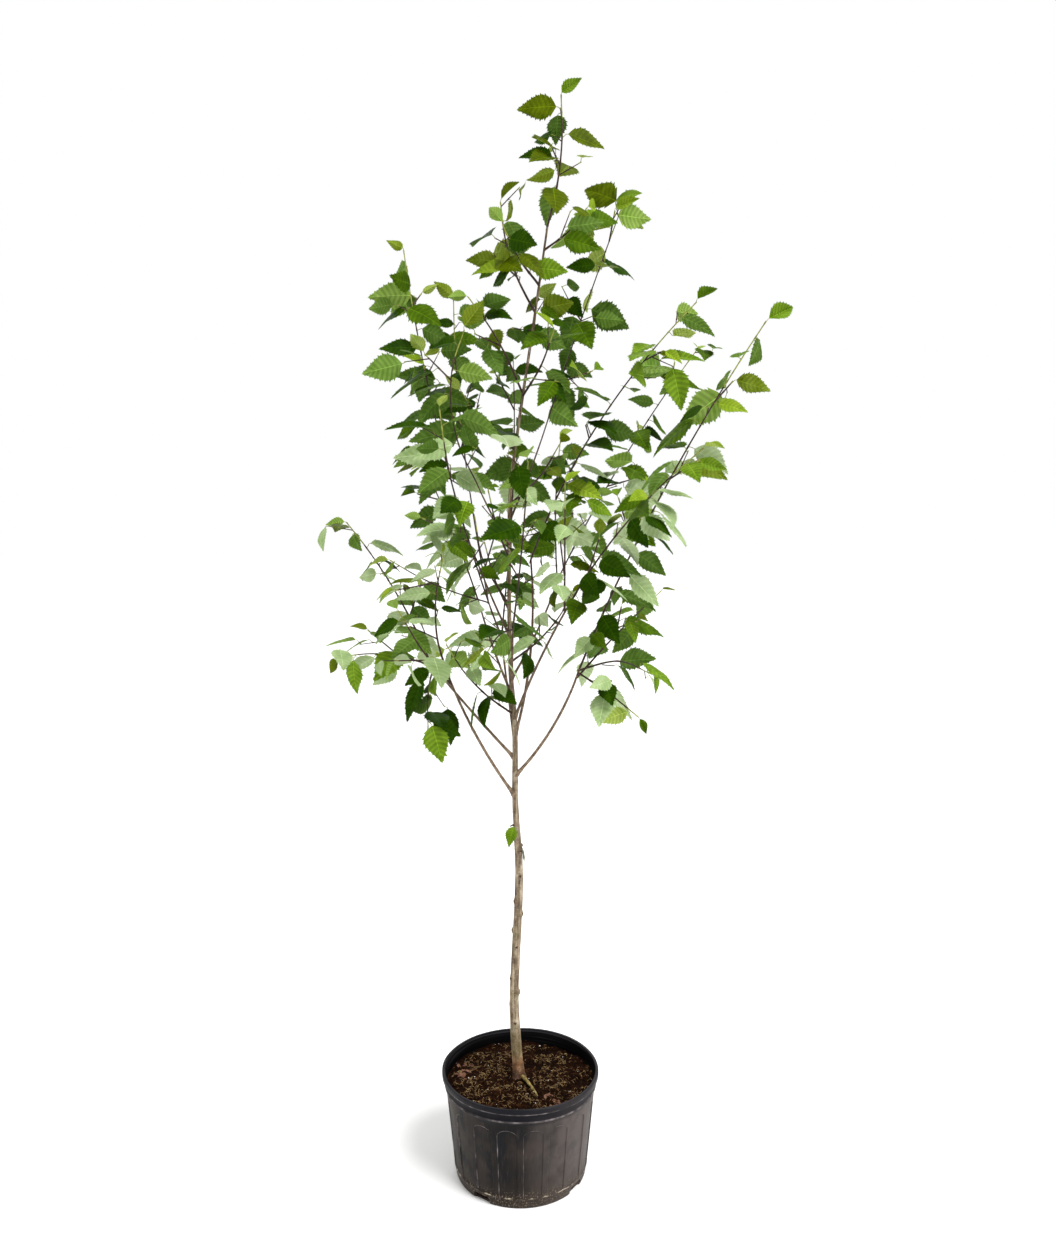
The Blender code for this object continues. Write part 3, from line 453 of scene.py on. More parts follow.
def soil_height(x, y):
    """The mix's relief: high round the trunk, lower at the wall, with clods and hollows."""
    out = min(math.hypot(x, y) / SOIL_EDGE, 1)
    lumps = noise.fractal(Vector((x / CLOD_WIDTH, y / CLOD_WIDTH, 4.0)), 1.0, 2.0, 4)
    crumbs = noise.noise(Vector((x / CRUMB_WIDTH, y / CRUMB_WIDTH, 1.0)))
    calm = min(1, 0.25 + math.hypot(x, y) / 0.03)
    return SOIL_LEVEL - SOIL_DIP * out ** 2 + (lumps * CLOD + crumbs * CRUMB) * calm - hollow_depth(x, y)


turns = [math.tau * side / SOIL_AROUND for side in range(SOIL_AROUND)]
soil_points = [(0, 0, soil_height(0, 0))]
for step in range(1, SOIL_RINGS + 1):
    reach = SOIL_EDGE * step / SOIL_RINGS
    for x, y in [(reach * math.cos(turn), reach * math.sin(turn)) for turn in turns]:
        soil_points.append((x, y, soil_height(x, y)))
for radius, height in SOIL_SIDE:
    soil_points += [(radius * math.cos(turn), radius * math.sin(turn), height) for turn in turns]
soil_points.append((0, 0, SOIL_FOOT))
last = 1 + (SOIL_RINGS - 1 + len(SOIL_SIDE)) * SOIL_AROUND
soil_faces = []
for side in range(SOIL_AROUND):
    beside = (side + 1) % SOIL_AROUND
    soil_faces += [(0, 1 + side, 1 + beside), (last + beside, last + side, last + SOIL_AROUND)]
    for near in range(1, last, SOIL_AROUND):
        far = near + SOIL_AROUND
        soil_faces.append((near + side, far + side, far + beside, near + beside))

# Composted bark fines, damp: nearly black crumbs of 1 to 5 mm that swallow the light, with brown
# where they have dried and black where water has sunk them: below the mix's level, in its pits,
# its hollows and by the wall, where the black is also painted shade.
mix = finish("composted_bark_mix", (0.005, 5.0),
             ((0.25, "#040100"), (0.48, "#120702"), (0.62, "#2a1509"), (0.80, "#4c331e")),
             # painted shade as well as damp: near black below the mix's level
             [("#0a0402", ("Z", SOIL_LEVEL - 0.003, SOIL_LEVEL - 0.008, 0.0, 0.7))],
             relief=[(0.0016, 4.0)], deep=0.0012, dull=0.92, gloss=MIX_GLOSS)
soil = joined("potting_mix", soil_points, soil_faces, [mix], sharp=80)
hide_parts("soil")

CHIP_SHAPE = np.array([  # a splinter: pointed or broken ends, thicker in its middle
    (-0.50, -0.20, 0.0), (-0.46, 0.26, 0.1), (-0.05, -0.50, 0.0), (0.02, 0.50, 0.2),
    (0.05, -0.30, 1.0), (-0.08, 0.34, 0.9), (0.50, -0.12, 0.1), (0.44, 0.22, 0.0),
])
CHIP_FACES = np.array([
    (0, 4, 2), (0, 5, 4), (0, 1, 5), (1, 3, 5), (2, 4, 6), (4, 7, 6), (4, 5, 7), (5, 3, 7),
    (0, 2, 3), (0, 3, 1), (2, 6, 7), (2, 7, 3),
])


def crumb_finish(name, dark, pale):
    """Bark, wood or perlite, broken and dry: rough and dull, in lighter and darker crumbs."""
    return finish(name, (0.006, 3.0), ((0.30, dark), (0.70, pale)), relief=[(0.0008, 2.0)], gloss=MIX_GLOSS)


def chip_at(x, y, long, width, chance):
    """A chip's eight corners, lying on the mix at a place and kept inside the pot."""
    wide = max(long * width * chance.uniform(0.6, 1.3), 0.0008)
    thick = max(min(wide * 0.5, 0.0022), 0.0006) * chance.uniform(0.7, 1.2)
    shape = CHIP_SHAPE * (1 + np.array([chance.uniform(-0.25, 0.25) for _ in range(3)])) * (long, wide, thick)
    shape[:, 2] -= (shape[:, 0] / long) ** 2 * long * chance.uniform(-0.12, 0.12)
    lean = Matrix.Rotation(chance.gauss(0, 0.28), 3, "Y") @ Matrix.Rotation(chance.gauss(0, 0.35), 3, "X")
    spots = shape @ np.array(Matrix.Rotation(chance.uniform(0, math.tau), 3, "Z") @ lean).T
    outward = np.hypot(spots[:, 0] + x, spots[:, 1] + y).max()
    inward = min(1, (SOIL_EDGE - 0.001) / outward)
    return (spots + (x, y, 0)) * (inward, inward, 1) + (0, 0, soil_height(x, y) - thick * 0.25)


def strewn(kind, colours, chips):
    """One joined piece of all the chips of a kind."""
    faces = [CHIP_FACES + index * len(CHIP_SHAPE) for index in range(len(chips))]
    made = joined(f"{kind}s", np.vstack(chips), np.vstack(faces), [crumb_finish(kind, *colours)], sharp=30)
    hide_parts("soil")


def loose_spot(edge, tufted, chance):
    """A place on the mix, off the trunk and the hollows, and for wood fibre mostly in a tuft."""
    while True:
        reach, turn = edge * math.sqrt(chance.random()), chance.uniform(0, math.tau)
        x, y = reach * math.cos(turn), reach * math.sin(turn)
        bare = tufted and noise.noise(Vector((x / TUFT, y / TUFT, 7))) < chance.gauss(-0.05, 0.14)
        clear = math.hypot(x - TRUNK_SIDE, y) > TRUNK_CLEAR
        if clear and hollow_depth(x, y) < chance.uniform(*HOLLOW_BARE) and not bare:
            return x, y


chance = random.Random(MIX_SEED)
for kind, (dark, pale, count, shortest, longest, width, lift) in CHIPS.items():
    chips = []
    for _ in range(count):
        x, y = loose_spot(SOIL_EDGE - 0.002, kind == "tan_wood_shred", chance)
        long = shortest + (longest - shortest) * chance.random() ** 2
        chips.append(chip_at(x, y, long, width, chance) + (0, 0, lift))
    strewn(kind, (dark, pale), chips)
chips = []
for middle_x, middle_y, spread, count in RED_HEAPS:
    for _ in range(count):
        x, y = chance.gauss(middle_x, spread * 0.6), chance.gauss(middle_y, spread * 0.6)
        inward = min(1, RED_EDGE / math.hypot(x, y))
        chips.append(chip_at(x * inward, y * inward, chance.uniform(0.006, 0.017), 0.6, chance))
strewn("red_bark_chip", RED_CHIP, chips)


class Tubes:
    """Closed tubes that make one piece, each a row of rings with a point at either end."""

    def __init__(self):
        self.points, self.faces, self.skins, self.count = [], [], [], 0

    def add(self, path, radii, sides, relief=None, skin_of=lambda ring: 0):
        """Adds a tube. Each ring is turned as little as it can be, then reshaped by its relief."""
        path = np.array(path, dtype=float)
        ways = np.gradient(path, axis=0)
        ways /= np.linalg.norm(ways, axis=1)[:, None]
        side = np.cross(ways[0], ASKEW)
        turns = np.arange(sides) * math.tau / sides
        for index, way in enumerate(ways):
            side = side - way * side.dot(way)
            side = side / np.linalg.norm(side)
            shape = np.outer(np.cos(turns), side) + np.outer(np.sin(turns), np.cross(way, side))
            ring = path[index] + shape * radii[index]
            self.points.append(relief(index, ring, path[index]) if relief else ring)
        self.points += [path[:1], path[-1:]]
        top = len(path) - 1
        for index in range(top):
            here = self.count + index * sides
            for side in range(sides):
                beside = (side + 1) % sides
                self.faces.append((here + side, here + beside, here + sides + beside, here + sides + side))
            self.skins += [skin_of(index)] * sides
        here, foot = self.count + top * sides, self.count + (top + 1) * sides
        for side in range(sides):
            beside = (side + 1) % sides
            self.faces.append((self.count + beside, self.count + side, foot))
            self.faces.append((here + side, here + beside, foot + 1))
        self.skins += [skin_of(0), skin_of(top)] * sides
        self.count = foot + 2
        return self

    def piece(self, name, finishes, sharp):
        """The tubes as one piece."""
        return joined(name, np.vstack(self.points), self.faces, finishes, self.skins, sharp)


fibres = Tubes()
for _ in range(FIBRES):
    x, y = loose_spot(SOIL_EDGE - 0.014, True, chance)
    heading, bend = chance.uniform(0, math.tau), chance.gauss(0, 1.9)
    long = chance.uniform(*FIBRE_LENGTH)
    lift, hump = chance.uniform(0.0003, 0.0018), chance.uniform(0.0, 0.0035)
    line = []
    for ring in range(FIBRE_RINGS):
        share = ring / (FIBRE_RINGS - 1)
        line.append((x, y, soil_height(x, y) + lift + hump * math.sin(share * math.pi)))
        heading += bend / FIBRE_RINGS
        x += math.cos(heading) * long / FIBRE_RINGS
        y += math.sin(heading) * long / FIBRE_RINGS
    fibres.add(line, [chance.uniform(*FIBRE_RADIUS)] * FIBRE_RINGS, 4)
fibres = fibres.piece("curled_wood_fibres", [crumb_finish("curled_wood_fibre", *FIBRE)], 40)
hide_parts("soil")

# Trunk: a single stem of young birch wood under thin tan bark. Knots mark where its first shoots
# were pruned, fine lenticels cross it, and the bark darkens and reddens as it goes up the crown.
TRUNK_BENDS = (  # height, place along X and Y, radius
    (SOIL_LEVEL, TRUNK_SIDE, 0.000, 0.0090),
    (0.270, -0.010, 0.002, 0.0083),
    (0.345, -0.013, 0.003, 0.0080),
    (0.440, -0.009, 0.001, 0.0076),
    (0.592, -0.003, -0.002, 0.0068),
    (0.730, -0.010, -0.001, 0.0060),
    (0.880, -0.011, 0.002, 0.0050),
    (0.990, -0.019, 0.003, 0.0043),
    (1.150, -0.021, 0.000, 0.0037),
    (1.310, -0.019, -0.002, 0.0032),
    (1.420, -0.006, 0.000, 0.0029),
    (1.600, 0.021, 0.002, 0.0024),
    (1.790, 0.049, 0.000, 0.0019),
)
TRUNK_STEPS = 24
TRUNK_STEP_EASE = 1.25
FLARE = 0.0030
FLARE_FADE = 0.018
FLARE_RING = 0.004
FOOT_SWELL = 0.22  # three roots show at the foot as swellings
FOOT_FADE = 0.010
GAP = 0.0003
BARK_STEP = 0.0016
BARK_SIDES = 36
BARK_WAVES = ((1.1, 0.045, 0.030), (3.2, 0.014, 0.018))  # number round, height, share of the radius
BARK_GLOSS = 0.3
STOUT_HEIGHTS = (0.20, 0.27, 0.36, 0.48, 0.60, 0.70)
STOUT = (1.12, 1.20, 1.10, 1.12, 1.14, 1.0)  # how much the bark adds to the radius there
LENTICELS = 620
LENTICEL_SEED = 5
LENTICEL_SWELL = 0.035
KNOT_DARK = 0.55  # how much of a knot's width is dark
KNOTS = (  # height, azimuth, width and height of the swelling
    (0.539, 205, 0.0060, 0.0031),
    (0.515, 330, 0.0065, 0.0036),
    (0.590, 280, 0.0055, 0.0025),
    (0.449, 272, 0.0050, 0.0017),
    (0.357, 350, 0.0070, 0.0042),
    (0.296, 268, 0.0060, 0.0025),
    (0.481, 190, 0.0060, 0.0034),
    (0.385, 215, 0.0055, 0.0025),
    (0.639, 300, 0.0050, 0.0031),
    (0.420, 80, 0.0060, 0.0034),
    (0.560, 110, 0.0055, 0.0028),
    (0.330, 130, 0.0060, 0.0031),
    (0.240, 60, 0.0065, 0.0028),
    (0.670, 60, 0.0050, 0.0028),
    (0.649, 350, 0.0034, 0.0046),
)


def trunk_at(height):
    """The trunk's centre and radius at a height, on a smooth curve through its bends."""
    last = len(TRUNK_BENDS) - 2
    index = max(i for i in range(last + 1) if i == 0 or TRUNK_BENDS[i][0] <= height)
    before, start, end, after = (TRUNK_BENDS[min(max(index + shift, 0), last + 1)] for shift in (-1, 0, 1, 2))
    span = end[0] - start[0]
    share = (height - start[0]) / span
    ease = share * share * (3 - 2 * share)
    values = []
    for axis in (1, 2):
        slope_start = (end[axis] - before[axis]) / (end[0] - before[0]) * span
        slope_end = (after[axis] - start[axis]) / (after[0] - start[0]) * span
        bend = share * (1 - share) * (slope_start * (1 - share) - slope_end * share)
        values.append(start[axis] + (end[axis] - start[axis]) * ease + bend)
    radius = start[3] + (end[3] - start[3]) * share
    radius += FLARE * math.exp(-(height - SOIL_LEVEL) / FLARE_FADE)
    return Vector((values[0], values[1], height)), radius


def turn_from(turns, turn):
    """How far turns are from another one, the short way round."""
    return (turns - turn + math.pi) % math.tau - math.pi


chance = random.Random(LENTICEL_SEED)
trunk_foot = SOIL_LEVEL - 0.004
trunk_top = TRUNK_BENDS[-1][0]
lenticel_rows = {}
for _ in range(LENTICELS):
    height = trunk_foot + (trunk_top - trunk_foot) * chance.random()
    row = lenticel_rows.setdefault(round((height - trunk_foot) / BARK_STEP), [])
    row.append((chance.uniform(-math.pi, math.pi), chance.uniform(0.14, 0.42)))


def trunk_relief(index, ring, centre):
    """Swells the trunk's ring by slow waves, furrows, lenticels and knots."""
    spokes = ring - centre
    thick = np.linalg.norm(spokes, axis=1)
    turns = np.arctan2(spokes[:, 1], spokes[:, 0])
    height = centre[2]
    grow = np.ones(len(ring))
    for side, turn in enumerate(turns):
        grow[side] += sum(
            share * noise.noise(Vector((math.cos(turn) * wide, math.sin(turn) * wide, height / tall)))
            for wide, tall, share in BARK_WAVES)
    for turn, width in lenticel_rows.get(index, ()):
        grow += LENTICEL_SWELL * np.clip(1 - np.abs(turn_from(turns, turn)) / width, 0, 1)
    for knot_height, azimuth, wide, swell in KNOTS:
        if abs(knot_height - height) < 3 * wide:
            far = np.hypot(turn_from(turns, math.radians(azimuth)) * thick, knot_height - height) / wide
            grow += (swell * np.exp(-far ** 2 * 1.6) - 0.45 * swell * np.exp(-far ** 2 * 14)) / thick
    roots = FOOT_SWELL * math.exp(-(height - trunk_foot) / FOOT_FADE)
    grow += roots * np.cos(turns * 3 + 0.7)
    return centre + spokes * grow[:, None]


# Young birch bark, smooth and unpeeled: matt tan-grey with a papery mottle, drawn out in streaks as
# the stem grew, rusty and damp at the foot, with an olive film of algae and short corky dashes
# across it. The dashes are 0.5 mm high and are drawn 0.9 mm high, so that they show.
STREAKS, DASHES = ((0.005, 0.005, 0.080), 2.0), ((0.0038, 0.0038, 0.0009), 1.0)
bark = finish("young_birch_bark", ((0.012, 0.012, 0.019), 4.0),
              ((0.28, "#40342a"), (0.42, "#6f5f4c"), (0.56, "#907f6a"), (0.74, "#b8ac99")), (
    (((0.30, "#33231b"), (0.55, "#54402f"), (0.78, "#77624c")), ("Z", 0.75, 1.25)),  # redder up the crown
    ("#cdbb9f", (STREAKS, 0.52, 0.64, 0.0, 0.50)),
    ("#53402f", (STREAKS, 0.46, 0.36, 0.0, 0.55)),
    ("#67653a", (((0.030, 0.030, 0.060), 3.0), 0.50, 0.68, 0.0, 0.42)),  # algae
    ("#75663a", ("Z", 0.300, 0.245, 0.0, 0.55)),  # moss
    (((0.34, "#502e1b"), (0.50, "#8f6040"), (0.66, "#c29a78")), ("Z", 0.238, 0.218, 0.0, 0.75)),  # rust
    ("#3a2217", ("Z", 0.210, 0.194, 0.0, 0.85)),  # damp
    ("#584730", (((0.0045, 0.0045, 0.0075), 2.0), 0.54, 0.64, 0.0, 0.50)),  # blotches
    ("#4b3a2c", (DASHES, 0.60, 0.70, 0.0, 0.55)),
    ("#cdbfa6", (DASHES, 0.36, 0.28, 0.0, 0.45)),
), [DASHES, (0.0007, 3.0)], deep=0.0005, dull=0.72, gloss=BARK_GLOSS)

# Scar cork: where a shoot was pruned the wood has closed over with rough, nearly black bark.
scar = finish("dark_knot_bark", (0.0025, 3.0), ((0.30, "#1d120c"), (0.70, "#4b3223")),
              relief=[(0.0008, 2.0)], deep=0.0004)

trunk_path, trunk_radii = [], []
for height in np.arange(trunk_foot, trunk_top, BARK_STEP):
    at, radius = trunk_at(max(height, SOIL_LEVEL))
    trunk_path.append(Vector((at.x, at.y, height)))
    trunk_radii.append(radius * np.interp(at.z, STOUT_HEIGHTS, STOUT))
trunk = Tubes().add(trunk_path, trunk_radii, BARK_SIDES, trunk_relief)
trunk_skin = np.vstack(trunk.points)
for number, face in enumerate(trunk.faces[:(len(trunk_path) - 1) * BARK_SIDES]):
    x, y, z = trunk_skin[face[0]]
    axis = trunk_path[number // BARK_SIDES]
    turn = math.atan2(y - axis.y, x - axis.x)
    for knot_height, azimuth, wide, _ in KNOTS:
        gap = turn_from(turn, math.radians(azimuth)) * math.hypot(x - axis.x, y - axis.y)
        if math.hypot(gap, 1.5 * (knot_height - z)) < KNOT_DARK * wide:
            trunk.skins[number] = 1
trunk = trunk.piece("bark_trunk", [bark, scar], 70)
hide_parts("trunk")

# Withered leaf: one small dead leaf, curled to a grey-green roll, still hangs from the stub of a
# shoot on the trunk's right side.
ROLL_LINE = ((0.0020, -0.005, 0.6465), (0.0038, -0.007, 0.6420), (0.0052, -0.007, 0.6340),
             (0.0062, -0.006, 0.6250), (0.0070, -0.006, 0.6170))
ROLL_RADII = (0.0006, 0.0013, 0.0024, 0.0020, 0.0003)
# A dead leaf's skin: dry and papery, grey-green with brown veins, with no wax left on it.
roll_skin = finish("withered_leaf_skin", (0.003, 3.0), ((0.35, "#3d3f2e"), (0.65, "#7d8069")), dull=0.85)
steps = np.linspace(0, len(ROLL_LINE) - 1, 17)
roll_path = np.stack([np.interp(steps, range(len(ROLL_LINE)), axis) for axis in zip(*ROLL_LINE)], 1)
roll_radii = np.interp(steps, range(len(ROLL_LINE)), ROLL_RADII) * (1 + 0.15 * np.sin(steps * 5))
roll = Tubes().add(roll_path, roll_radii, 7).piece("withered_leaf", [roll_skin], 50)

# Surface root: one young yellow-green sucker root runs from the trunk's foot over the mix, towards
# the front right, and dives into it again.
ROOT_LINE = ((0.001, -0.004, 0.190), (0.006, -0.012, 0.1895), (0.013, -0.024, 0.1885),
             (0.021, -0.041, 0.1875), (0.029, -0.058, 0.1855), (0.033, -0.066, 0.181))
ROOT_RADIUS = (0.0042, 0.0015)
# Young root skin that light has turned green: smooth and faintly waxy, yellow-green with brown rubs.
root_wood = finish("young_root_skin", (0.006, 3.0), ((0.3, "#43341a"), (0.5, "#7c6a33"), (0.7, "#a59555")),
                   relief=[(0.001, 2.0)], deep=0.0003, dull=0.6)
steps = np.linspace(0, 1, 40)
knots_at = np.linspace(0, 1, len(ROOT_LINE))
root_path = np.stack([np.interp(steps, knots_at, axis) for axis in zip(*ROOT_LINE)], 1)
for _ in range(12):
    root_path[1:-1] = (root_path[:-2] + root_path[1:-1] * 2 + root_path[2:]) / 4
root_radii = np.interp(steps, (0, 1), ROOT_RADIUS) * (1 + 0.12 * np.sin(steps * 31))
root = Tubes().add(root_path, root_radii, 10).piece("surface_root", [root_wood], 60)

# Boughs: fourteen limbs that leave the trunk at narrow angles, each swollen at its collar and
# tapering evenly. Their bark is thinner than the trunk's, redder, and dotted with lenticels.
BOUGHS = {  # foot height, azimuth, lean at the foot and at the tip, length, turn of the azimuth
    "bough_left_front": (0.744, 201, 36, 22, 0.263, 0),
    "bough_left_low": (0.816, 164, 46, 44, 0.246, -8),
    "bough_right_low": (0.783, 342, 43, 19, 0.250, -6),
    "bough_right_mid": (0.858, 30, 18, -6, 0.337, 7),
    "bough_right_front": (0.892, 309, 29, 45, 0.275, -9),
    "bough_right_back": (0.967, 52, 47, 42, 0.259, 14),
    "bough_left_upper": (1.014, 150, 30, 21, 0.119, 0),
    "bough_left_high": (1.219, 215, 36, 28, 0.136, 0),
    "bough_right_high": (1.262, 45, 32, 24, 0.215, 0),
    "bough_back_low": (0.838, 98, 50, 30, 0.245, 6),
    "bough_back_left": (0.935, 124, 42, 34, 0.215, -6),
    "bough_front": (0.925, 268, 44, 30, 0.190, 6),
    "bough_front_left": (1.050, 238, 40, 34, 0.150, 0),
    "bough_back_high": (1.130, 88, 40, 26, 0.190, 0),
}
BOUGH_STEPS = 6
BOUGH_SHARE = 0.56
BOUGH_TAPER = 0.62
BOUGH_RING = 0.003
BOUGH_SIDES = 14
COLLAR = 0.75
COLLAR_FADE = 0.007
BOUGH_LUMP = 0.09  # shares of the radius
BOUGH_LUMP_WIDTH = 0.011
BOUGH_NODE = 0.10
BOUGH_NODE_SPACING = 0.034


def direction(azimuth, lean):
    """The unit vector at an azimuth and a lean, both in degrees."""
    turn, tilt = math.radians(azimuth), math.radians(lean)
    return Vector((math.sin(tilt) * math.cos(turn), math.sin(tilt) * math.sin(turn), math.cos(tilt)))


def limb_path(foot, azimuth, lean_foot, lean_tip, length, turn, steps):
    """Points along a limb whose lean eases from its foot to its tip."""
    points = [Vector(foot)]
    for step in range(steps):
        share = (step + 0.5) / steps
        way = direction(azimuth + turn * share, lean_foot + (lean_tip - lean_foot) * share)
        points.append(points[-1] + way * length / steps)
    return points


def along(points, distance):
    """The place and the direction at a distance along a path."""
    for start, end in zip(points, points[1:]):
        span = (end - start).length
        if distance <= span or end is points[-1]:
            return start.lerp(end, min(distance / span, 1)), (end - start).normalized()
        distance -= span


def path_length(points):
    """How long a path is from its first point to its last."""
    return sum((end - start).length for start, end in zip(points, points[1:]))


def eased(points, step):
    """A path drawn smooth through its points, about a step apart, and the run to each place."""
    line = np.array(points, dtype=float)
    padded = np.vstack([2 * line[0] - line[1], line, 2 * line[-1] - line[-2]])
    drawn = []
    for a, b, c, d in zip(padded, padded[1:], padded[2:], padded[3:]):
        count = max(1, round(np.linalg.norm(c - b) / step))
        for share in np.arange(count) / count:
            square, cube = share ** 2, share ** 3
            drawn.append(0.5 * (2 * b + (c - a) * share + (2 * a - 5 * b + 4 * c - d) * square
                                + (3 * b - a - 3 * c + d) * cube))
    drawn = np.array(drawn + [line[-1]])
    return drawn, np.concatenate([[0], np.cumsum(np.linalg.norm(np.diff(drawn, axis=0), axis=1))])


# Thin bark of two-year wood: smoother than the trunk's, tan at the foot and red-brown at the tip,
# satin, and dotted with pale lenticels. They are 0.5 mm across and are drawn 1.4 mm, to show.
DOTS = ((0.0022, 0.0022, 0.0011), 1.0)
limb_bark = finish("thin_bough_bark", (0.009, 3.0),
                   ((0.28, "#4c3b2d"), (0.50, "#725e4b"), (0.75, "#9a8873")), (
    (((0.30, "#33211a"), (0.55, "#4c352a"), (0.78, "#6a5040")), ("Z", 0.85, 1.12)),
    ("#b9a68c", (DOTS, 0.62, 0.72, 0.0, 0.6)),
), [DOTS], deep=0.0004, dull=0.62, gloss=BARK_GLOSS)


def bough_relief(run):
    """The relief of a bough whose rings lie at these runs: slow swellings and nodes."""
    def relief(index, ring, centre):
        lumps = [noise.noise(Vector(point / BOUGH_LUMP_WIDTH)) for point in ring]
        node_swell = BOUGH_NODE * max(0, math.sin(run[index] / BOUGH_NODE_SPACING * math.pi)) ** 12
        return centre + (ring - centre) * (1 + BOUGH_LUMP * np.array(lumps) + node_swell)[:, None]

    return relief


bough_lines = {}
for name, (foot_height, *sizes) in BOUGHS.items():
    centre, trunk_radius = trunk_at(foot_height)
    points = limb_path(centre, *sizes, BOUGH_STEPS)
    foot_radius = trunk_radius * BOUGH_SHARE
    shares = [step / BOUGH_STEPS for step in range(BOUGH_STEPS + 1)]
    bough_lines[name] = points, [foot_radius * (1 + (BOUGH_TAPER - 1) * share) for share in shares]
    line, run = eased(points, BOUGH_RING)
    thick = foot_radius * (1 + (BOUGH_TAPER - 1) * run / run[-1])
    thick = thick * (1 + COLLAR * np.exp(-np.maximum(run - trunk_radius, 0) / COLLAR_FADE))
    limb = Tubes().add(line, thick, BOUGH_SIDES, bough_relief(run))
    limb = limb.piece(f"bark_{name}", [limb_bark], 70)
    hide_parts(name)

# Growth: stems go on from the boughs' tips and the trunk, side shoots leave the stems, and leaves
# stand in a spiral up both. This is the rule by which the frame's foliage grew, with the same
# seeds, so each leaf of the frame is found again where it was.
MASSES = {  # what carries the stem, its azimuth, leans, length and turn, and its leaves' length
    "leaves_left_front": ("bough_left_front", 150, 30, -26, 0.235, -18, 0.088),
    "leaves_left_outer": ("bough_left_front", 222, 48, 30, 0.175, 0, 0.088),
    "leaves_left_up": ("bough_left_low", 164, 23, 45, 0.330, -10, 0.088),
    "leaves_left_side": ("bough_left_low", 195, 66, 99, 0.176, 0, 0.095),
    "leaves_left_droop": ("bough_left_low", 262, 112, 150, 0.150, 17, 0.100),
    "leaves_right_wing": ("bough_right_low", 326, 24, 34, 0.675, 16, 0.095),
    "leaves_right_side": ("bough_right_low", 11, 63, 128, 0.147, 8, 0.092),
    "leaves_right_droop": ("bough_right_low", 320, 112, 118, 0.150, -7, 0.095),
    "leaves_right_outer": ("bough_right_low", 20, 44, 55, 0.236, 11, 0.090),
    "leaves_right_mid": ("bough_right_mid", 8, 20, 46, 0.560, -22, 0.090),
    "leaves_right_front": ("bough_right_front", 317, 35, 54, 0.368, 12, 0.092),
    "leaves_front_right": ("bough_right_front", 268, 30, 20, 0.230, 0, 0.095),
    "leaves_right_back": ("bough_right_back", 41, 34, 39, 0.600, -18, 0.090),
    "leaves_right_inner": ("bough_right_back", 96, 26, 30, 0.330, -20, 0.088),
    "leaves_right_high": ("bough_right_high", 38, 22, 24, 0.480, -6, 0.085),
    "leaves_left_high": ("bough_left_high", 215, 37, -27, 0.277, -11, 0.088),
    "leaves_left_tall": ("bough_left_upper", 162, 20, 10, 0.680, -16, 0.090),
    "leaves_left_back": ("bough_left_upper", 106, 38, 0, 0.640, 16, 0.088),
    "leaves_left_long": ("bough_left_upper", 182, 76, 57, 0.200, -3, 0.088),
    "leaves_back_low": ("bough_back_low", 84, 34, 44, 0.300, 0, 0.090),
    "leaves_back_droop": ("bough_back_low", 140, 80, 118, 0.160, 0, 0.092),
    "leaves_back_left": ("bough_back_left", 128, 30, 36, 0.330, 8, 0.090),
    "leaves_front": ("bough_front", 285, 28, 12, 0.300, 0, 0.098),
    "leaves_front_droop": ("bough_front", 250, 84, 124, 0.130, 0, 0.098),
    "leaves_front_left": ("bough_front_left", 232, 34, 8, 0.300, 0, 0.092),
    "leaves_back_high": ("bough_back_high", 84, 30, 16, 0.330, 12, 0.088),
    "leader_top": (None, 0, 17, -5, 0.229, 0, 0.079),
    "leader_right_tip": (1.752, 10, 59, 31, 0.107, 0, 0.083),
    "leader_left_tip": (1.645, 170, 32, 3, 0.202, 0, 0.085),
    "leader_left_up": (1.501, 195, 22, 41, 0.188, 0, 0.083),
    "leader_left_mid": (1.117, 176, 40, 1, 0.168, 0, 0.085),
    "leaf_on_trunk": (0.690, 216, 96, 120, 0.016, 0, 0.036),
}
SHOOTS = 9  # more of them stand in a spiral up the trunk
SHOOT_HEIGHTS = (0.905, 1.690)
SHOOT_TURN = 137.5
SHOOT_START = 200
SHOOT_LENGTH = (0.185, 0.120)
SHOOT_LEAN = (58, 28)
SHOOT_LEAF = 0.084

SEED = 33
STEM_STEP = 0.070
STEM_RADIUS = (0.0021, 0.0012)
STEM_SEAT = 0.0006
BESIDE_BACK = 1.5
BESIDE_STEP = 0.007
TIP_LOOK = 0.005
SIDE_RADIUS = (0.0015, 0.0011)
SIDE_SPACING = 0.150
SIDE_STRAY = (0.8, 1.2)
SIDE_FIRST = 0.060
SIDE_FIRST_STRAY = 0.050
SIDE_LAST = 0.070
SIDE_LENGTH = (0.055, 0.100)
SIDE_LENGTH_FOOT = 1.15
SIDE_LENGTH_FADE = 0.5
SIDE_ANGLE = 48

LEAF_SPACING = 0.042
LEAF_FIRST = 0.014
LEAF_LAST = 0.004
LEAF_PHASE = 0.35
LEAF_TURN = 137.5
LEAF_TURN_STRAY = 20
LEAF_ANGLE = (58, 92)
LEAF_ROLL = 65
LEAF_SIZE = (0.86, 1.10)
LEAF_FADE = 0.38
LEAF_TRIES = 12
LEAF_SHRINK = 0.25
TIP_LEAF_BACK = 0.003
TIP_LEAF_ANGLE = (4, 30)
TIP_LEAF_ROLL = 90
TIP_LEAF_SIZE = (0.42, 0.62)
PETIOLE = 0.17
PETIOLE_RISE = math.radians(48)
LEAF_SECTIONS = (  # share of the blade's length, half width, fall and thickness, in blade lengths
    (0.00, 0.012, 0.000, 0.014),
    (0.40, 0.345, 0.015, 0.018),
)
LEAF_TIP = (1.00, 0.0, -0.160)
BALL_STEP = 0.005
CLEAR = 0.0012
NEAR = 0.012
FOOT_BALLS = 3
TEST_SWELL = 1.04
LEAF_REACH = 0.62
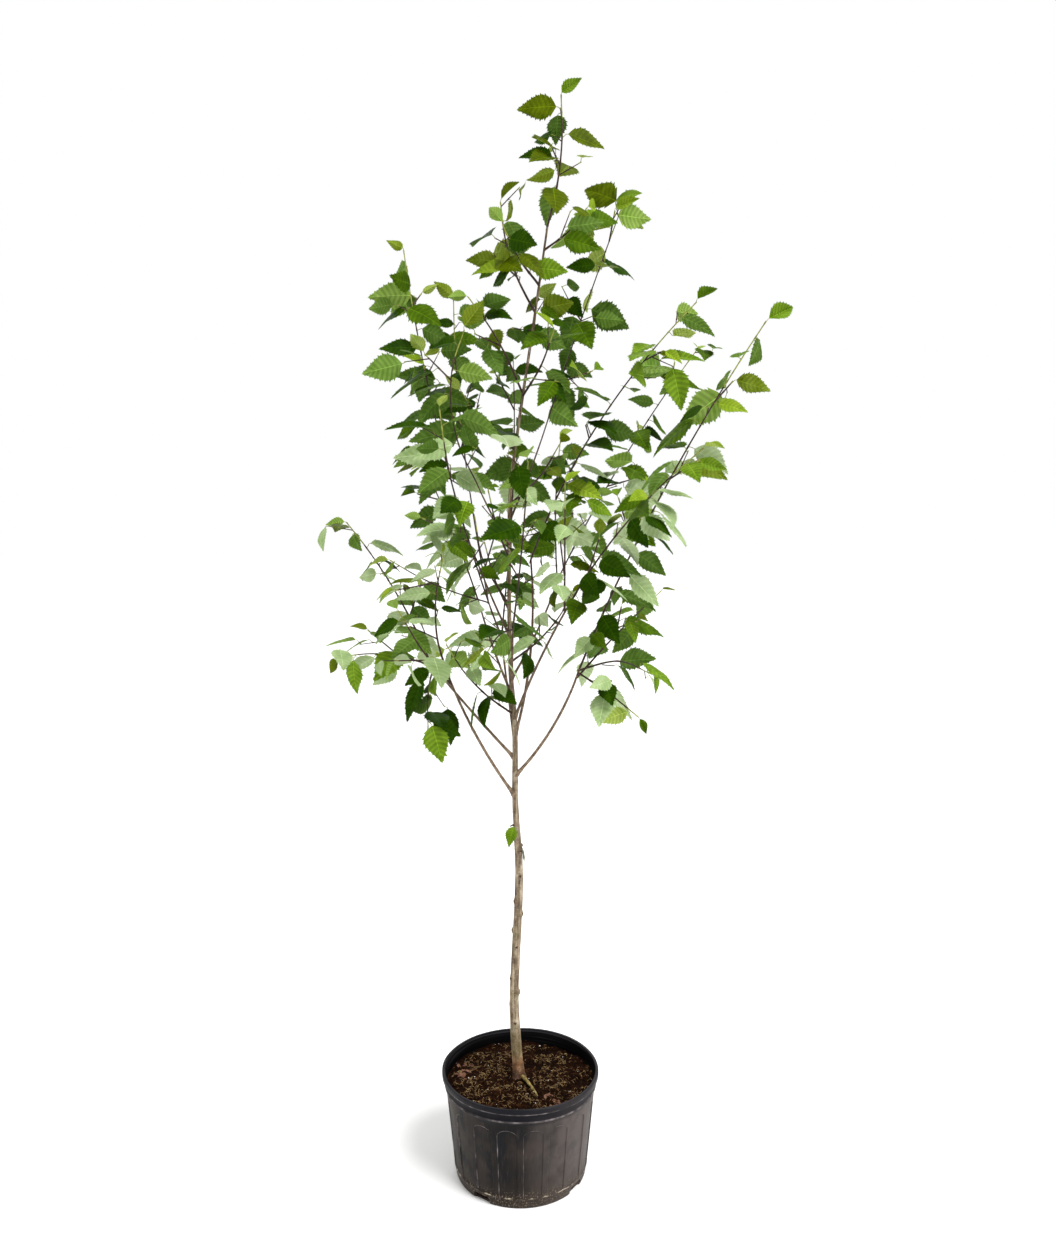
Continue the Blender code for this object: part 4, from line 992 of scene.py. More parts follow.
REACH_MARGIN = 0.006


def balls_along(points, start_radius, end_radius, owner):
    """Balls that stand for a limb or a twig in the tests: place, radius and owner."""
    length = path_length(points)
    count = max(2, math.ceil(length / BALL_STEP))
    shares = [index / count for index in range(count + 1)]
    return [(along(points, length * share)[0], start_radius + (end_radius - start_radius) * share, owner)
            for share in shares]


def tree_of(balls):
    """A search tree of balls by place."""
    tree = KDTree(len(balls))
    for index, (place, _, _) in enumerate(balls):
        tree.insert(place, index)
    tree.balance()
    return tree


def stem_path(sizes, used):
    """A stem's path, and the place and radius inside its bough or the trunk that it grows from."""
    carrier, *lean, length, turn, _ = sizes
    path = limb_path((0, 0, 0), *lean, length, turn, max(2, round(length / STEM_STEP)))
    way = path[1].normalized()
    radius = STEM_RADIUS[0]
    if isinstance(carrier, str):
        points, radii = bough_lines[carrier]
        axis = (points[-1] - points[-2]).normalized()
        centre, thick = points[-1], radii[-1]
        beside = used.setdefault(carrier, 0)
        used[carrier] += 1
    else:
        height = trunk_top if carrier is None else carrier
        centre, thick = trunk_at(height)
        axis = (centre - trunk_at(height - TIP_LOOK)[0]).normalized()
        beside = 0 if carrier is None else 1
    if beside == 0:
        foot = centre + axis * (GAP + radius * axis.cross(way).length)
        return [foot + point for point in path], centre - axis * 0.006, thick
    foot = centre
    if isinstance(carrier, str):
        foot = centre - axis * (radius * BESIDE_BACK + BESIDE_STEP * (beside - 1))
    heart = foot - axis * 0.004
    aside = (way - axis * way.dot(axis)).normalized()
    side = way.cross(Vector(ASKEW)).normalized()
    other = way.cross(side)
    turns = [math.tau * corner / 3 for corner in range(3)]
    place = foot + aside * thick
    ring = [place + (side * math.cos(turn) + other * math.sin(turn)) * radius for turn in turns]
    rim = ring + [(ring[corner] + ring[corner - 1]) / 2 for corner in range(3)]
    nearest = min((point - centre - axis * (point - centre).dot(axis)).length for point in rim)
    foot = foot + aside * (2 * thick + STEM_SEAT - nearest)
    return [foot + point for point in path], heart, thick


stalk_root = Vector((-math.cos(PETIOLE_RISE), 0, -math.sin(PETIOLE_RISE))) * PETIOLE
UNIT_LEAF = [  # +X to the tip, +Z its upper side, the blade's base at 0
    [stalk_root + Vector((0, side, 0)) for side in (LEAF_SECTIONS[0][1], -LEAF_SECTIONS[0][1])],
    *([Vector((share, side, -fall)) for side in (wide, -wide)] + [Vector((share, 0, -fall - thick))]
      for share, wide, fall, thick in LEAF_SECTIONS),
    [Vector(LEAF_TIP)] * 3,
]


def leaf_frame(way, roll):
    """A leaf's turn: its petiole runs along way, and its blade bends from that to the ground."""
    across = way.cross(Vector((0, 0, -1)))
    if across.length < 0.1:
        across = way.cross(Vector((0, -1, 0)))
    across.normalize()
    blade = Matrix.Rotation(PETIOLE_RISE, 3, across) @ way
    face = blade.cross(across).normalized()
    if face.dot(way) < 0:
        face.negate()
    rolled = Matrix.Rotation(roll, 3, way)
    blade, face = rolled @ blade, rolled @ face
    return Matrix((blade, face.cross(blade), face)).transposed()


def leaf_plate(base, turn, length):
    """A leaf's plain blade for the tests: its points, and its centre, reach and search tree."""
    points = [base + turn @ (point * length * TEST_SWELL) for ring in UNIT_LEAF[1:] for point in ring]
    faces = [(0, 2, 1)]
    for ring in range(0, len(points) - 3, 3):
        for corner in range(3):
            here, beside = ring + corner, ring + (corner + 1) % 3
            faces += [(here, beside, beside + 3), (here, beside + 3, here + 3)]
    blade = BVHTree.FromPolygons(points, faces, all_triangles=True)
    return points, ((points[2] + points[-1]) / 2, length * LEAF_REACH, blade)


def within_reach(point):
    """Whether a point stays inside the frame's own box, with a leaf's margin."""
    return all(low - REACH_MARGIN < value < high + REACH_MARGIN
               for low, value, high in zip(cad_low, point, cad_high))


class Crown:
    """What the growing masses share: every stem's space, the limbs' balls and the leaves."""

    def __init__(self, limb_balls, stems):
        self.stem_balls = [ball for name in stems for ball in balls_along(stems[name], *STEM_RADIUS, name)]
        self.space = tree_of(self.stem_balls)
        self.solid = limb_balls + self.stem_balls
        self.solid_tree = tree_of(self.solid)
        self.shoot_balls = []
        self.leaves = []

    def in_space(self, point, owner):
        """Whether a point is nearer to its own mass's stem than to any other's."""
        return self.stem_balls[self.space.find(point)[1]][2] == owner

    def shoot_is_free(self, points, owner):
        """Whether a side shoot stays in its space, off the limbs, the stems and the leaves."""
        for place, radius, _ in balls_along(points, *SIDE_RADIUS, owner)[FOOT_BALLS:]:
            if not self.in_space(place, owner):
                return False
            for _, index, distance in self.solid_tree.find_range(place, NEAR):
                if distance < radius + self.solid[index][1] + CLEAR:
                    return False
            for other, other_radius, _ in self.shoot_balls:
                if (place - other).length < radius + other_radius + CLEAR:
                    return False
            for centre, reach, blade in self.leaves:
                if (centre - place).length < reach and blade.find_nearest(place, radius + CLEAR)[0]:
                    return False
        return True

    def is_clear(self, plate, own=None):
        """Whether a leaf's plate touches no limb, twig or other leaf."""
        centre, reach, blade = plate
        near = [self.solid[index] for _, index, _ in self.solid_tree.find_range(centre, reach)]
        for ball, radius, _ in near + [b for b in self.shoot_balls if (b[0] - centre).length < reach]:
            if blade.find_nearest(ball, radius + CLEAR)[0]:
                return False
        for index, (other_centre, other_reach, other) in enumerate(self.leaves):
            if index != own and (other_centre - centre).length < reach + other_reach and blade.overlap(other):
                return False
        return True

    def hang(self, spray, place, turn, length, owner, young=False, bound=False):
        """Hangs a leaf in a spray where it stays in its space and reach and touches nothing."""
        root = [point * length for point in UNIT_LEAF[0]]
        base = place - turn @ (root[0] + root[1]) / 2
        points, plate = leaf_plate(base, turn, length)
        if not all(self.in_space(point, owner) for point in points[3:]) or not self.is_clear(plate):
            return False
        if bound and not within_reach(base + turn @ Vector(LEAF_TIP) * length):
            return False
        self.leaves.append(plate)
        spray.append(SimpleNamespace(
            root=place, base=base, turn=turn, length=length, young=young, number=len(self.leaves) - 1))
        return True

    def turn_leaf(self, leaf, shares, heights, way, aim):
        """Turns a leaf by the first of some shares, fewer at some heights, at which it stays clear."""
        for share in shares:
            turn = way(leaf.turn, aim, share * np.interp(leaf.base.z, *zip(*heights)))
            plate = leaf_plate(leaf.base, turn, leaf.length)[1]
            if self.is_clear(plate, leaf.number):
                leaf.turn = turn
                self.leaves[leaf.number] = plate
                return


def petiole_way(way, turn, angle):
    """The way of a petiole that leaves a twig at an angle, at a turn round it."""
    side = Matrix.Rotation(math.radians(turn), 3, way) @ way.cross(Vector(ASKEW)).normalized()
    return (way * math.cos(math.radians(angle)) + side * math.sin(math.radians(angle))).normalized()


def grow_leaves(crown, points, owner, leaf_length, chance):
    """Leaves up one twig in a spiral, and a young one at its tip."""
    spray = []
    length = path_length(points)
    count = max(1, round((length - LEAF_FIRST) / LEAF_SPACING))
    spiral = chance.uniform(0, 360)
    for index in range(count):
        distance = LEAF_FIRST + (length - LEAF_FIRST - LEAF_LAST) * (index + LEAF_PHASE) / count
        place, way = along(points, distance)
        spiral += LEAF_TURN + chance.uniform(-LEAF_TURN_STRAY, LEAF_TURN_STRAY)
        turn = spiral
        size = leaf_length * chance.uniform(*LEAF_SIZE) * (1 - LEAF_FADE * (distance / length) ** 3)
        for attempt in range(LEAF_TRIES):
            petiole = petiole_way(way, turn, chance.uniform(*LEAF_ANGLE))
            turned = leaf_frame(petiole, math.radians(chance.uniform(-LEAF_ROLL, LEAF_ROLL)))
            shrink = 1 - LEAF_SHRINK * attempt / LEAF_TRIES
            if crown.hang(spray, place, turned, size * shrink, owner):
                break
            turn += 360 / LEAF_TRIES * (1 if attempt % 2 else -1) * (attempt + 1)
    tip, way = along(points, length - TIP_LEAF_BACK)
    for _ in range(LEAF_TRIES):
        petiole = petiole_way(way, chance.uniform(0, 360), chance.uniform(*TIP_LEAF_ANGLE))
        turned = leaf_frame(petiole, math.radians(chance.uniform(-TIP_LEAF_ROLL, TIP_LEAF_ROLL)))
        if crown.hang(spray, tip, turned, leaf_length * chance.uniform(*TIP_LEAF_SIZE), owner, young=True):
            break
    return spray


def grow_mass(name, crown, stem, leaf_length):
    """A mass by the seeded rule: side shoots up the stem, then leaves on the stem and on them."""
    chance = random.Random(f"{SEED} {name}")
    twigs = [(stem, STEM_RADIUS)]
    length = path_length(stem)
    distance = SIDE_FIRST + chance.uniform(0, SIDE_FIRST_STRAY)
    turn = chance.uniform(0, 360)
    while distance < length - SIDE_LAST:
        place, way = along(stem, distance)
        reach = chance.uniform(*SIDE_LENGTH) * (SIDE_LENGTH_FOOT - SIDE_LENGTH_FADE * distance / length)
        for _ in range(LEAF_TRIES):
            turn += LEAF_TURN
            shoot = [place, place + petiole_way(way, turn, SIDE_ANGLE) * reach]
            if crown.shoot_is_free(shoot, name):
                crown.shoot_balls += balls_along(shoot, *SIDE_RADIUS, name)
                twigs.append((shoot, SIDE_RADIUS))
                break
        distance += SIDE_SPACING * chance.uniform(*SIDE_STRAY)
    return twigs, [grow_leaves(crown, points, name, leaf_length, chance) for points, _ in twigs]


masses = dict(MASSES)
for index in range(SHOOTS):
    share = index / (SHOOTS - 1)
    height, length = (start + (end - start) * share for start, end in (SHOOT_HEIGHTS, SHOOT_LENGTH))
    azimuth = SHOOT_START + SHOOT_TURN * index
    masses[f"leader_shoot_{index + 1}"] = (height, azimuth, *SHOOT_LEAN, length, 0, SHOOT_LEAF)

stems_at_tips = {}
stem_facts = {name: stem_path(sizes, stems_at_tips) for name, sizes in masses.items()}
foot = SOIL_LEVEL + GAP
shares = [(step / TRUNK_STEPS) ** TRUNK_STEP_EASE for step in range(TRUNK_STEPS + 1)]
heights = [foot + (trunk_top - foot) * share for share in shares]
heights.insert(1, foot + FLARE_RING)
frame_line = [trunk_at(height)[0] for height in heights]
frame_line[0] = Vector((frame_line[1].x, frame_line[1].y, foot))
limb_balls = balls_along(frame_line, trunk_at(foot)[1], trunk_at(heights[-1])[1], "trunk")
for name, (points, radii) in bough_lines.items():
    limb_balls += balls_along(points, radii[0], radii[-1], name)
crown = Crown(limb_balls, {name: facts[0] for name, facts in stem_facts.items()})
grown = {name: grow_mass(name, crown, stem_facts[name][0], sizes[-1]) for name, sizes in masses.items()}

# Finer growth, which only this script has. First every leaf settles as a live one does: it droops,
# lies open to the sky and turns to the light. Then short spurs with a few leaves each grow along the
# twigs, wherever there is room.
SPUR_SPACING = ((1.20, 0.098), (1.32, 0.135), (1.48, 0.145), (1.58, 0.105), (1.72, 0.120), (1.80, 0.080))
LEADER_CROWDED = 0.6  # the spurs stand closer round the leader
SPUR_FIRST = 0.058
SPUR_LAST = 0.006
SPUR_LENGTH = (0.026, 0.062)
SPUR_RADIUS = (0.0010, 0.0007)
SPUR_ANGLE = 55
SPUR_LEAF = 0.84
SPUR_LEAF_SIZE = (0.72, 1.12)
SPUR_LEAF_ANGLE = (35, 90)
SPUR_LEAF_TURN = 31
SPUR_LEAF_SPACING = 0.024
SPUR_SETTLED = 0.9
SETTLE_SHARES = (0.8, 0.6, 0.4, 0.2)
SETTLE_HEIGHTS = ((1.70, 1.0), (1.85, 0.4))
SETTLE_ROLL = 0.45
SHOW_SHARES = (1.0, 0.75, 0.5, 0.25)
SHOW_HEIGHTS = ((0.75, 1.0), (0.90, 0.15), (1.15, 0.15), (1.45, 0.35), (1.65, 0.60), (1.80, 0.90))
SHOW_STRAY = 0.35
DROOP = (8, 17)  # degrees, high up and added low down
DROOP_STRAY = 20
LONE_STALK = ((-0.0157, -0.0071, 0.6892), (-0.0135, -0.0112, 0.6880))  # where the trunk's leaf hangs
LONE_WAYS = ((-0.26, -0.28, -0.93), (-0.35, -0.93, 0.15))  # where its blade points, and its face


def squared(blade, face):
    """The turn of a leaf whose blade points one way and whose face looks about another."""
    face = (face - blade * face.dot(blade)).normalized()
    return Matrix((blade, face.cross(blade), face)).transposed()


def settled(turn, droop, share):
    """A leaf's turn, brought by a share towards a blade that lies open to the sky and droops."""
    blade, face = turn.col[0].copy(), turn.col[2].copy()
    flat = Vector((blade.x, blade.y, 0.0001)).normalized()
    wanted = flat * math.cos(droop) - Vector((0, 0, math.sin(droop)))
    blade = blade.lerp(wanted, share).normalized()
    skyward = (Vector((0, 0, 1)) - blade * blade.z).normalized()
    return squared(blade, face.lerp(skyward, share * SETTLE_ROLL))


def shown(turn, front, share):
    """A leaf's turn, rolled by a share about its blade until a side of it faces the front."""
    blade, face = turn.col[0].copy(), turn.col[2].copy()
    wanted = (front - blade * front.dot(blade)).normalized()
    if wanted.dot(face) < 0:
        wanted.negate()
    return squared(blade, face.lerp(wanted, share))


def droop_at(height, chance):
    """How far below the level a blade points: little at the top, more and unevenly low down."""
    low = min(max((1.45 - height) / 0.5, 0), 1)
    return math.radians(chance.gauss(DROOP[0] + DROOP[1] * low, DROOP_STRAY))


def front_of(chance):
    """About where the brightest light is, a little different for each leaf."""
    return Vector((chance.gauss(0, SHOW_STRAY), -1, chance.gauss(0.2, SHOW_STRAY)))


def spur_spray(crown, spur, reach, name, leaf_length, chance):
    """The leaves of one spur that find room, already settled."""
    spray = []
    count = max(1, round(reach / SPUR_LEAF_SPACING))
    turn = chance.uniform(0, 360)
    for index in range(count):
        turn += LEAF_TURN
        root, way = along(spur, reach * min((index + 0.7) / count, 0.97))
        size = leaf_length * SPUR_LEAF * chance.uniform(*SPUR_LEAF_SIZE)
        for attempt in range(LEAF_TRIES):
            petiole = petiole_way(way, turn + attempt * SPUR_LEAF_TURN, chance.uniform(*SPUR_LEAF_ANGLE))
            turned = leaf_frame(petiole, math.radians(chance.uniform(-LEAF_ROLL, LEAF_ROLL)))
            turned = settled(turned, droop_at(root.z, chance), SPUR_SETTLED)
            turned = shown(turned, front_of(chance), np.interp(root.z, *zip(*SHOW_HEIGHTS)))
            cut = size * (1 - 0.4 * attempt / LEAF_TRIES)
            if crown.hang(spray, root, turned, cut, name, bound=True):
                break
    return spray


def grow_spurs(name, crown, twigs, leaf_length):
    """Short spurs along a mass's twigs, each with a few leaves, wherever there is still room."""
    chance = random.Random(f"{SEED} {name} spurs")
    crowded = LEADER_CROWDED if name.startswith("leader") else 1
    spurs, sprays = [], []
    for points, _ in twigs:
        length = path_length(points)
        distance = chance.uniform(0.3, 1.0) * SPUR_FIRST
        turn = chance.uniform(0, 360)
        while distance < length - SPUR_LAST:
            place, way = along(points, distance)
            reach = chance.uniform(*SPUR_LENGTH)
            for _ in range(LEAF_TRIES):
                turn += LEAF_TURN
                spur = [place, place + petiole_way(way, turn, SPUR_ANGLE) * reach]
                if within_reach(spur[1]) and crown.shoot_is_free(spur, name):
                    spray = spur_spray(crown, spur, reach, name, leaf_length, chance)
                    if spray:
                        crown.shoot_balls += balls_along(spur, *SPUR_RADIUS, name)
                        spurs.append((spur, SPUR_RADIUS))
                        sprays.append(spray)
                    break
            spacing = np.interp(place.z, *zip(*SPUR_SPACING)) * crowded
            distance += spacing * chance.uniform(0.75, 1.25)
    return spurs, sprays


chance = random.Random(f"{SEED} settle")
for _, sprays in grown.values():
    for leaf in [leaf for spray in sprays for leaf in spray]:
        droop = droop_at(leaf.base.z, chance)
        crown.turn_leaf(leaf, () if leaf.young else SETTLE_SHARES, SETTLE_HEIGHTS, settled, droop)
        crown.turn_leaf(leaf, SHOW_SHARES, SHOW_HEIGHTS, shown, front_of(chance))
lone_leaf = grown["leaf_on_trunk"][1][0][0]
lone_leaf.root, lone_leaf.base = (Vector(spot) for spot in LONE_STALK)
lone_leaf.turn = squared(*(Vector(way).normalized() for way in LONE_WAYS))
for name, sizes in masses.items():
    if name != "leaf_on_trunk":
        twigs, sprays = grown[name]
        spurs, spur_sprays = grow_spurs(name, crown, twigs, sizes[-1])
        grown[name] = twigs + spurs, sprays + spur_sprays

# Twigs: this year's and last year's wood, all thinner than a pencil. The bark is dark red-brown
# and smooth, the newest tips are still yellow-green, and each node is a little swollen.
TWIG_SIDES = 6
TWIG_RING = 0.0032
TWIG_STOUT = 1.1
NODE_SWELL = 0.30
NODE_WIDTH = 0.0028
GREEN_FROM = 0.82  # share of a twig's length that has bark, high up and low down
GREEN_LOW = 0.92
GREEN_HEIGHT = 1.45

# The bark of one-year shoots is a thin glossy red-brown skin, and the newest growth has none yet:
# there the green of the shoot itself shows, soft and slightly waxy.
TWIG_TONES = {
    "smooth_twig_bark": ((0.30, "#23150f"), (0.55, "#3b271e"), (0.80, "#5a3e2f")),
    "green_shoot_skin": ((0.30, "#6a6a2c"), (0.55, "#8d9440"), (0.80, "#a8ab58")),
}
twig_skins = [finish(name, (0.008, 3.0), stops, relief=[(0.001, 2.0)], dull=0.5, gloss=BARK_GLOSS)
              for name, stops in TWIG_TONES.items()]

twig_tubes = Tubes()
for name, (twigs, sprays) in grown.items():
    for number, ((points, (start_radius, end_radius)), spray) in enumerate(zip(twigs, sprays)):
        path = list(points)
        if number == 0:
            _, heart, thick = stem_facts[name]
            path = [heart] + path
            start_radius = min(start_radius, thick)
            end_radius = end_radius * 0.8
        line, run = eased(path, TWIG_RING)
        roots = [np.linalg.norm(line - np.array(leaf.root), axis=1) for leaf in spray]
        if spray:  # a twig ends just past its last leaf
            last = max(away.argmin() for away in roots) + 2
            line, run, roots = line[:last], run[:last], [away[:last] for away in roots]
        thick = TWIG_STOUT * (start_radius + (end_radius - start_radius) * run / run[-1])
        for away in roots:
            thick = thick * (1 + NODE_SWELL * np.exp(-(away / NODE_WIDTH) ** 2))
        green_after = (GREEN_FROM if number == 0 or path[0].z > GREEN_HEIGHT else GREEN_LOW) * run[-1]
        twig_tubes.add(line, thick, TWIG_SIDES, skin_of=lambda ring: int(run[ring] > green_after))
twigs_piece = twig_tubes.piece("twigs", twig_skins, 60)
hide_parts(*masses)

# Leaves: rhombic blades with a long point and a coarsely double-toothed edge, folded a little
# along the midrib and pleated between eight pairs of side veins, with one slope of each pleat
# painted darker as painted shade. They are satin and from deep to yellow-green above, and paler
# and duller below, with a pale midrib on both sides.
VEINS = 8
BLADE_OUTLINE = (  # share of the length, and half the width there in lengths
    (0, 0.012), (0.04, 0.090), (0.10, 0.180), (0.18, 0.256), (0.27, 0.306), (0.36, 0.322),
    (0.46, 0.304), (0.58, 0.252), (0.70, 0.184), (0.80, 0.120), (0.90, 0.058), (0.96, 0.024), (1, 0))
TEETH = ((0.0, 0.056), (0.20, -0.024), (0.50, 0.016), (0.62, -0.020))  # along a vein's pitch, outwards
TOOTH_LEAN = 0.010
EDGE_LEAST = 0.006  # the edge's nearest place to the midrib
BLADE_ROOT = 0.055
PLEAT = 0.011
PLEAT_SHARP = 20
PLAIN, RIB_SKIN, SHADED_PLEAT_SKIN = 0, 1, 2
LEAF_THICK = 0.0042
RIB = 0.0050
RIB_DEEP = 0.004
RIB_PALE = 1.35  # the midrib's colour beside the blade's
BLADE_COLUMNS = (0.0, 0.42, 0.82)
LEAF_KINDS = {  # upper side dark and light, underside dark and light, painted shade on the pleats' falling slopes
    "deep_green": (("#1b3800", "#2f4c00"), ("#44621c", "#5c7a32"), 0.90),
    "mid_green": (("#365202", "#52700e"), ("#5c7c2a", "#749442"), 0.88),
    "olive_green": (("#3c4b00", "#5e6f08"), ("#64760f", "#7e9030"), 0.90),
    "fresh_green": (("#587810", "#789828"), ("#789838", "#92ae56"), 0.87),
    "yellow_green": (("#74901a", "#92aa32"), ("#8ca23e", "#a7b85c"), 0.90),
    "pale_green": (("#8ca668", "#aec28e"), ("#a6ba84", "#bed0a2"), 0.95),
}
LEAF_SEED = 71
LEAF_GLOSS = 0.04  # the wax on a birch leaf is thin and broken, which dulls its shine
LEAF_GROWTH = ((0.75, 0.90, 1.20, 1.45, 1.75), (1.32, 0.90, 0.92, 0.98, 1.06))  # heights, and sizes there
LEAF_STRAY = (0.72, 1.22, 0.94)  # smallest, largest and commonest
YOUNG_GREENS = {"yellow_green": 4, "olive_green": 3, "fresh_green": 3, "mid_green": 1}
LONE_LEAF = 0.75  # below this height hangs only the leaf on the trunk
SPRAY_PULL = 2.2  # how much likelier a leaf has its spray's green
STALK_RINGS = 7
STALK_SIDES = 5
STALK_GIRTH = ((0, 0.12, 1), (0.0012, 0.00072, 0.0006))  # shares of a stalk's length, and radii there


def blade_half(share):
    """Half the blade's width at a share of its length."""
    return float(np.interp(share, *zip(*BLADE_OUTLINE)))


def blade_sheet():
    """A flat blade of unit length: its points as along, across and pleat height, its faces and rim.

    The rows follow the side veins, from the midrib forward to the teeth. A row at each vein lies
    low and one between two veins stands high, and each slope from a high row down to the next
    vein takes the pleat's painted shade.
    """
    rows = []
    for step in range(2 * VEINS - 1):
        share = step / (2 * VEINS - 2)
        rows.append((0.020 + 0.800 * share ** 0.97, 0.140 + 0.790 * share ** 0.92))
    spots = {}
    for sign in (-1, 1):
        spots["base", sign] = 0.0, sign * RIB, 0.0
        for row, (middle, edge) in enumerate(rows):
            lift = (PLEAT if row % 2 else -PLEAT * 0.5) * (1 - 0.5 * edge)
            spots[sign, row, 0] = middle, sign * RIB * (1 - 0.6 * middle), 0.0
            for column, share in enumerate(BLADE_COLUMNS[1:], 1):
                at = middle + (edge - middle) * share ** 1.15
                spots[sign, row, column] = at, sign * blade_half(edge) * share, lift
        for vein in range(VEINS):
            here = rows[2 * vein][1]
            ahead = rows[2 * vein + 2][1] if vein < VEINS - 1 else 0.985
            size = 1 - 0.55 * here
            for part, (share, out) in enumerate(TEETH):
                at = here + (ahead - here) * share
                lean = TOOTH_LEAN * size if out > 0 else 0
                half = max(blade_half(at) + out * size, EDGE_LEAST)
                spots[sign, "edge", vein, part] = at + lean, sign * half, 0.0
        spots["root", sign] = BLADE_ROOT, sign * blade_half(BLADE_ROOT), 0.0
    spots["tip"] = 1.0, 0.0, 0.0
    number = {key: index for index, key in enumerate(spots)}
    faces, rim = [], {number["tip"]}
    last, outer = len(rows) - 1, len(BLADE_COLUMNS) - 1

    def face(*keys, skin=PLAIN, turned=False):
        corners = [number[key] for key in keys]
        faces.append((corners[::-1] if turned else corners, skin))

    for sign in (-1, 1):
        grid = [[(sign, row, column) for column in range(outer + 1)] for row in range(last + 1)]
        edges = [[(sign, "edge", vein, part) for part in range(4)] for vein in range(VEINS)]
        base, root, back = ("base", sign), ("root", sign), sign < 0
        for row in range(last):
            # painted shade on each slope from a crest down to the next vein
            skin = SHADED_PLEAT_SKIN if row % 2 else PLAIN
            here, ahead = grid[row], grid[row + 1]
            for column in range(outer):
                face(here[column], ahead[column], ahead[column + 1], here[column + 1], skin=skin, turned=back)
        for vein in range(VEINS - 1):
            low, mid, high = (grid[2 * vein + step][outer] for step in range(3))
            teeth = edges[vein] + edges[vein + 1][:1]
            for corners in ((low, teeth[1], teeth[0]), (low, mid, teeth[1]), (mid, teeth[2], teeth[1])):
                face(*corners, turned=back)
            for corners in ((mid, teeth[3], teeth[2]), (mid, high, teeth[3]), (high, teeth[4], teeth[3])):
                face(*corners, skin=SHADED_PLEAT_SKIN, turned=back)
        first, final, tail = grid[0], grid[last], edges[-1]
        for start, end in ((base, first[0]), (first[0], first[1]), (first[1], first[outer]),
                           (first[outer], edges[0][0])):
            face(start, end, root, turned=back)
        for corners in ((final[0], tail[1], final[1]), (final[1], tail[1], final[outer]),
                        (final[outer], tail[1], tail[0]), (final[0], tail[2], tail[1]),
                        (final[0], tail[3], tail[2]), (final[0], "tip", tail[3])):
            face(*corners, turned=back)
        rim |= {number[key] for key in (base, root, *(key for edge in edges for key in edge))}
    for row in range(last):
        face((-1, row, 0), (-1, row + 1, 0), (1, row + 1, 0), (1, row, 0), skin=RIB_SKIN)
    face(("base", -1), (-1, 0, 0), (1, 0, 0), ("base", 1), skin=RIB_SKIN)
    face((-1, last, 0), "tip", (1, last, 0), skin=RIB_SKIN)
    return np.array(list(spots.values())), faces, rim


sheet_points, sheet_faces, sheet_rim = blade_sheet()
inner = [index for index in range(len(sheet_points)) if index not in sheet_rim]
below_of = {index: index for index in sheet_rim}
below_of.update({index: len(sheet_points) + order for order, index in enumerate(inner)})
blade_faces = [(face[::-1], skin) for face, skin in sheet_faces]
blade_faces += [([below_of[index] for index in face], 3 + skin) for face, skin in sheet_faces]
is_rib = np.zeros(len(sheet_points), dtype=bool)
for face, skin in sheet_faces:
    if skin == RIB_SKIN:
        is_rib[face] = True


def blade_points(length, fold, arch, fall, twist, wave, narrow, phase):
    """A blade's points, upper side then underside: folded, arched, drooping, twisted and wavy."""
    at, across, lift = sheet_points.T
    across = across * narrow
    out = np.abs(across)
    height = lift + fold * out - arch * out ** 2 - fall * at ** 2.1
    height = height + wave * np.sin(at * 9 + phase) * out
    height = height - RIB_DEEP * is_rib
    turn = twist * at
    y = across * np.cos(turn) - height * np.sin(turn)
    z = across * np.sin(turn) + height * np.cos(turn)
    upper = np.stack([at - 0.12 * fall * at ** 2, y, z], 1)
    under = upper[inner] - (0, 0, LEAF_THICK)
    under[:, 2] -= RIB_DEEP * 1.5 * is_rib[inner]
    return np.vstack([upper, under]) * length


def kind_of(leaf, spray_mood, chance):
    """The green of a leaf by its place and its spray.

    Young tips are mostly yellow-green and the top is olive. The right wing is fresh and yellow
    green, as painted light from the key light on that side. Pale leaves hang low down and at the
    sides, as painted sky sheen on blades seen from above. The rest is deep or mid green, deepest
    in the middle and low down, as painted shade inside the crown. Each place is a share that is 0
    where it starts and 1 a span further on.
    """
    x, _, z = leaf.base
    if z < LONE_LEAF:
        return "fresh_green"
    if leaf.young:
        return chance.choices(list(YOUNG_GREENS), list(YOUNG_GREENS.values()))[0]
    spans = ((z, 1.68, 0.14), (x, 0.10, 0.20), (z, 1.20, 0.25), (z, 1.46, -0.28), (z, 1.00, -0.06),
             (abs(x), 0.08, 0.15))
    top, right, high, low, foot, side = (min(max((at - start) / span, 0), 1) for at, start, span in spans)
    wing = right * high
    # painted light on the right wing, painted sheen low down and painted shade in the middle
    weights = {
        "deep_green": (3.8 + 1.4 * (1 - side) - 3.0 * wing - 3.2 * top * (1 - wing)
                       - low * (0.8 + 0.6 * side) + 1.8 * foot),
        "mid_green": 2.6 - 0.6 * low - 1.4 * top,
        "olive_green": 0.4 + 5.6 * top * (1 - side) + 1.0 * top,
        "fresh_green": 0.5 + 1.4 * top * side + 3.4 * wing + 1.2 * low * side,
        "yellow_green": 0.1 + 0.3 * top + 1.0 * wing,
        "pale_green": 0.02 + (6.4 + 3.2 * side) * low * (1 - 0.95 * foot),
    }
    weights[spray_mood] *= SPRAY_PULL
    return chance.choices(list(weights), list(weights.values()))[0]


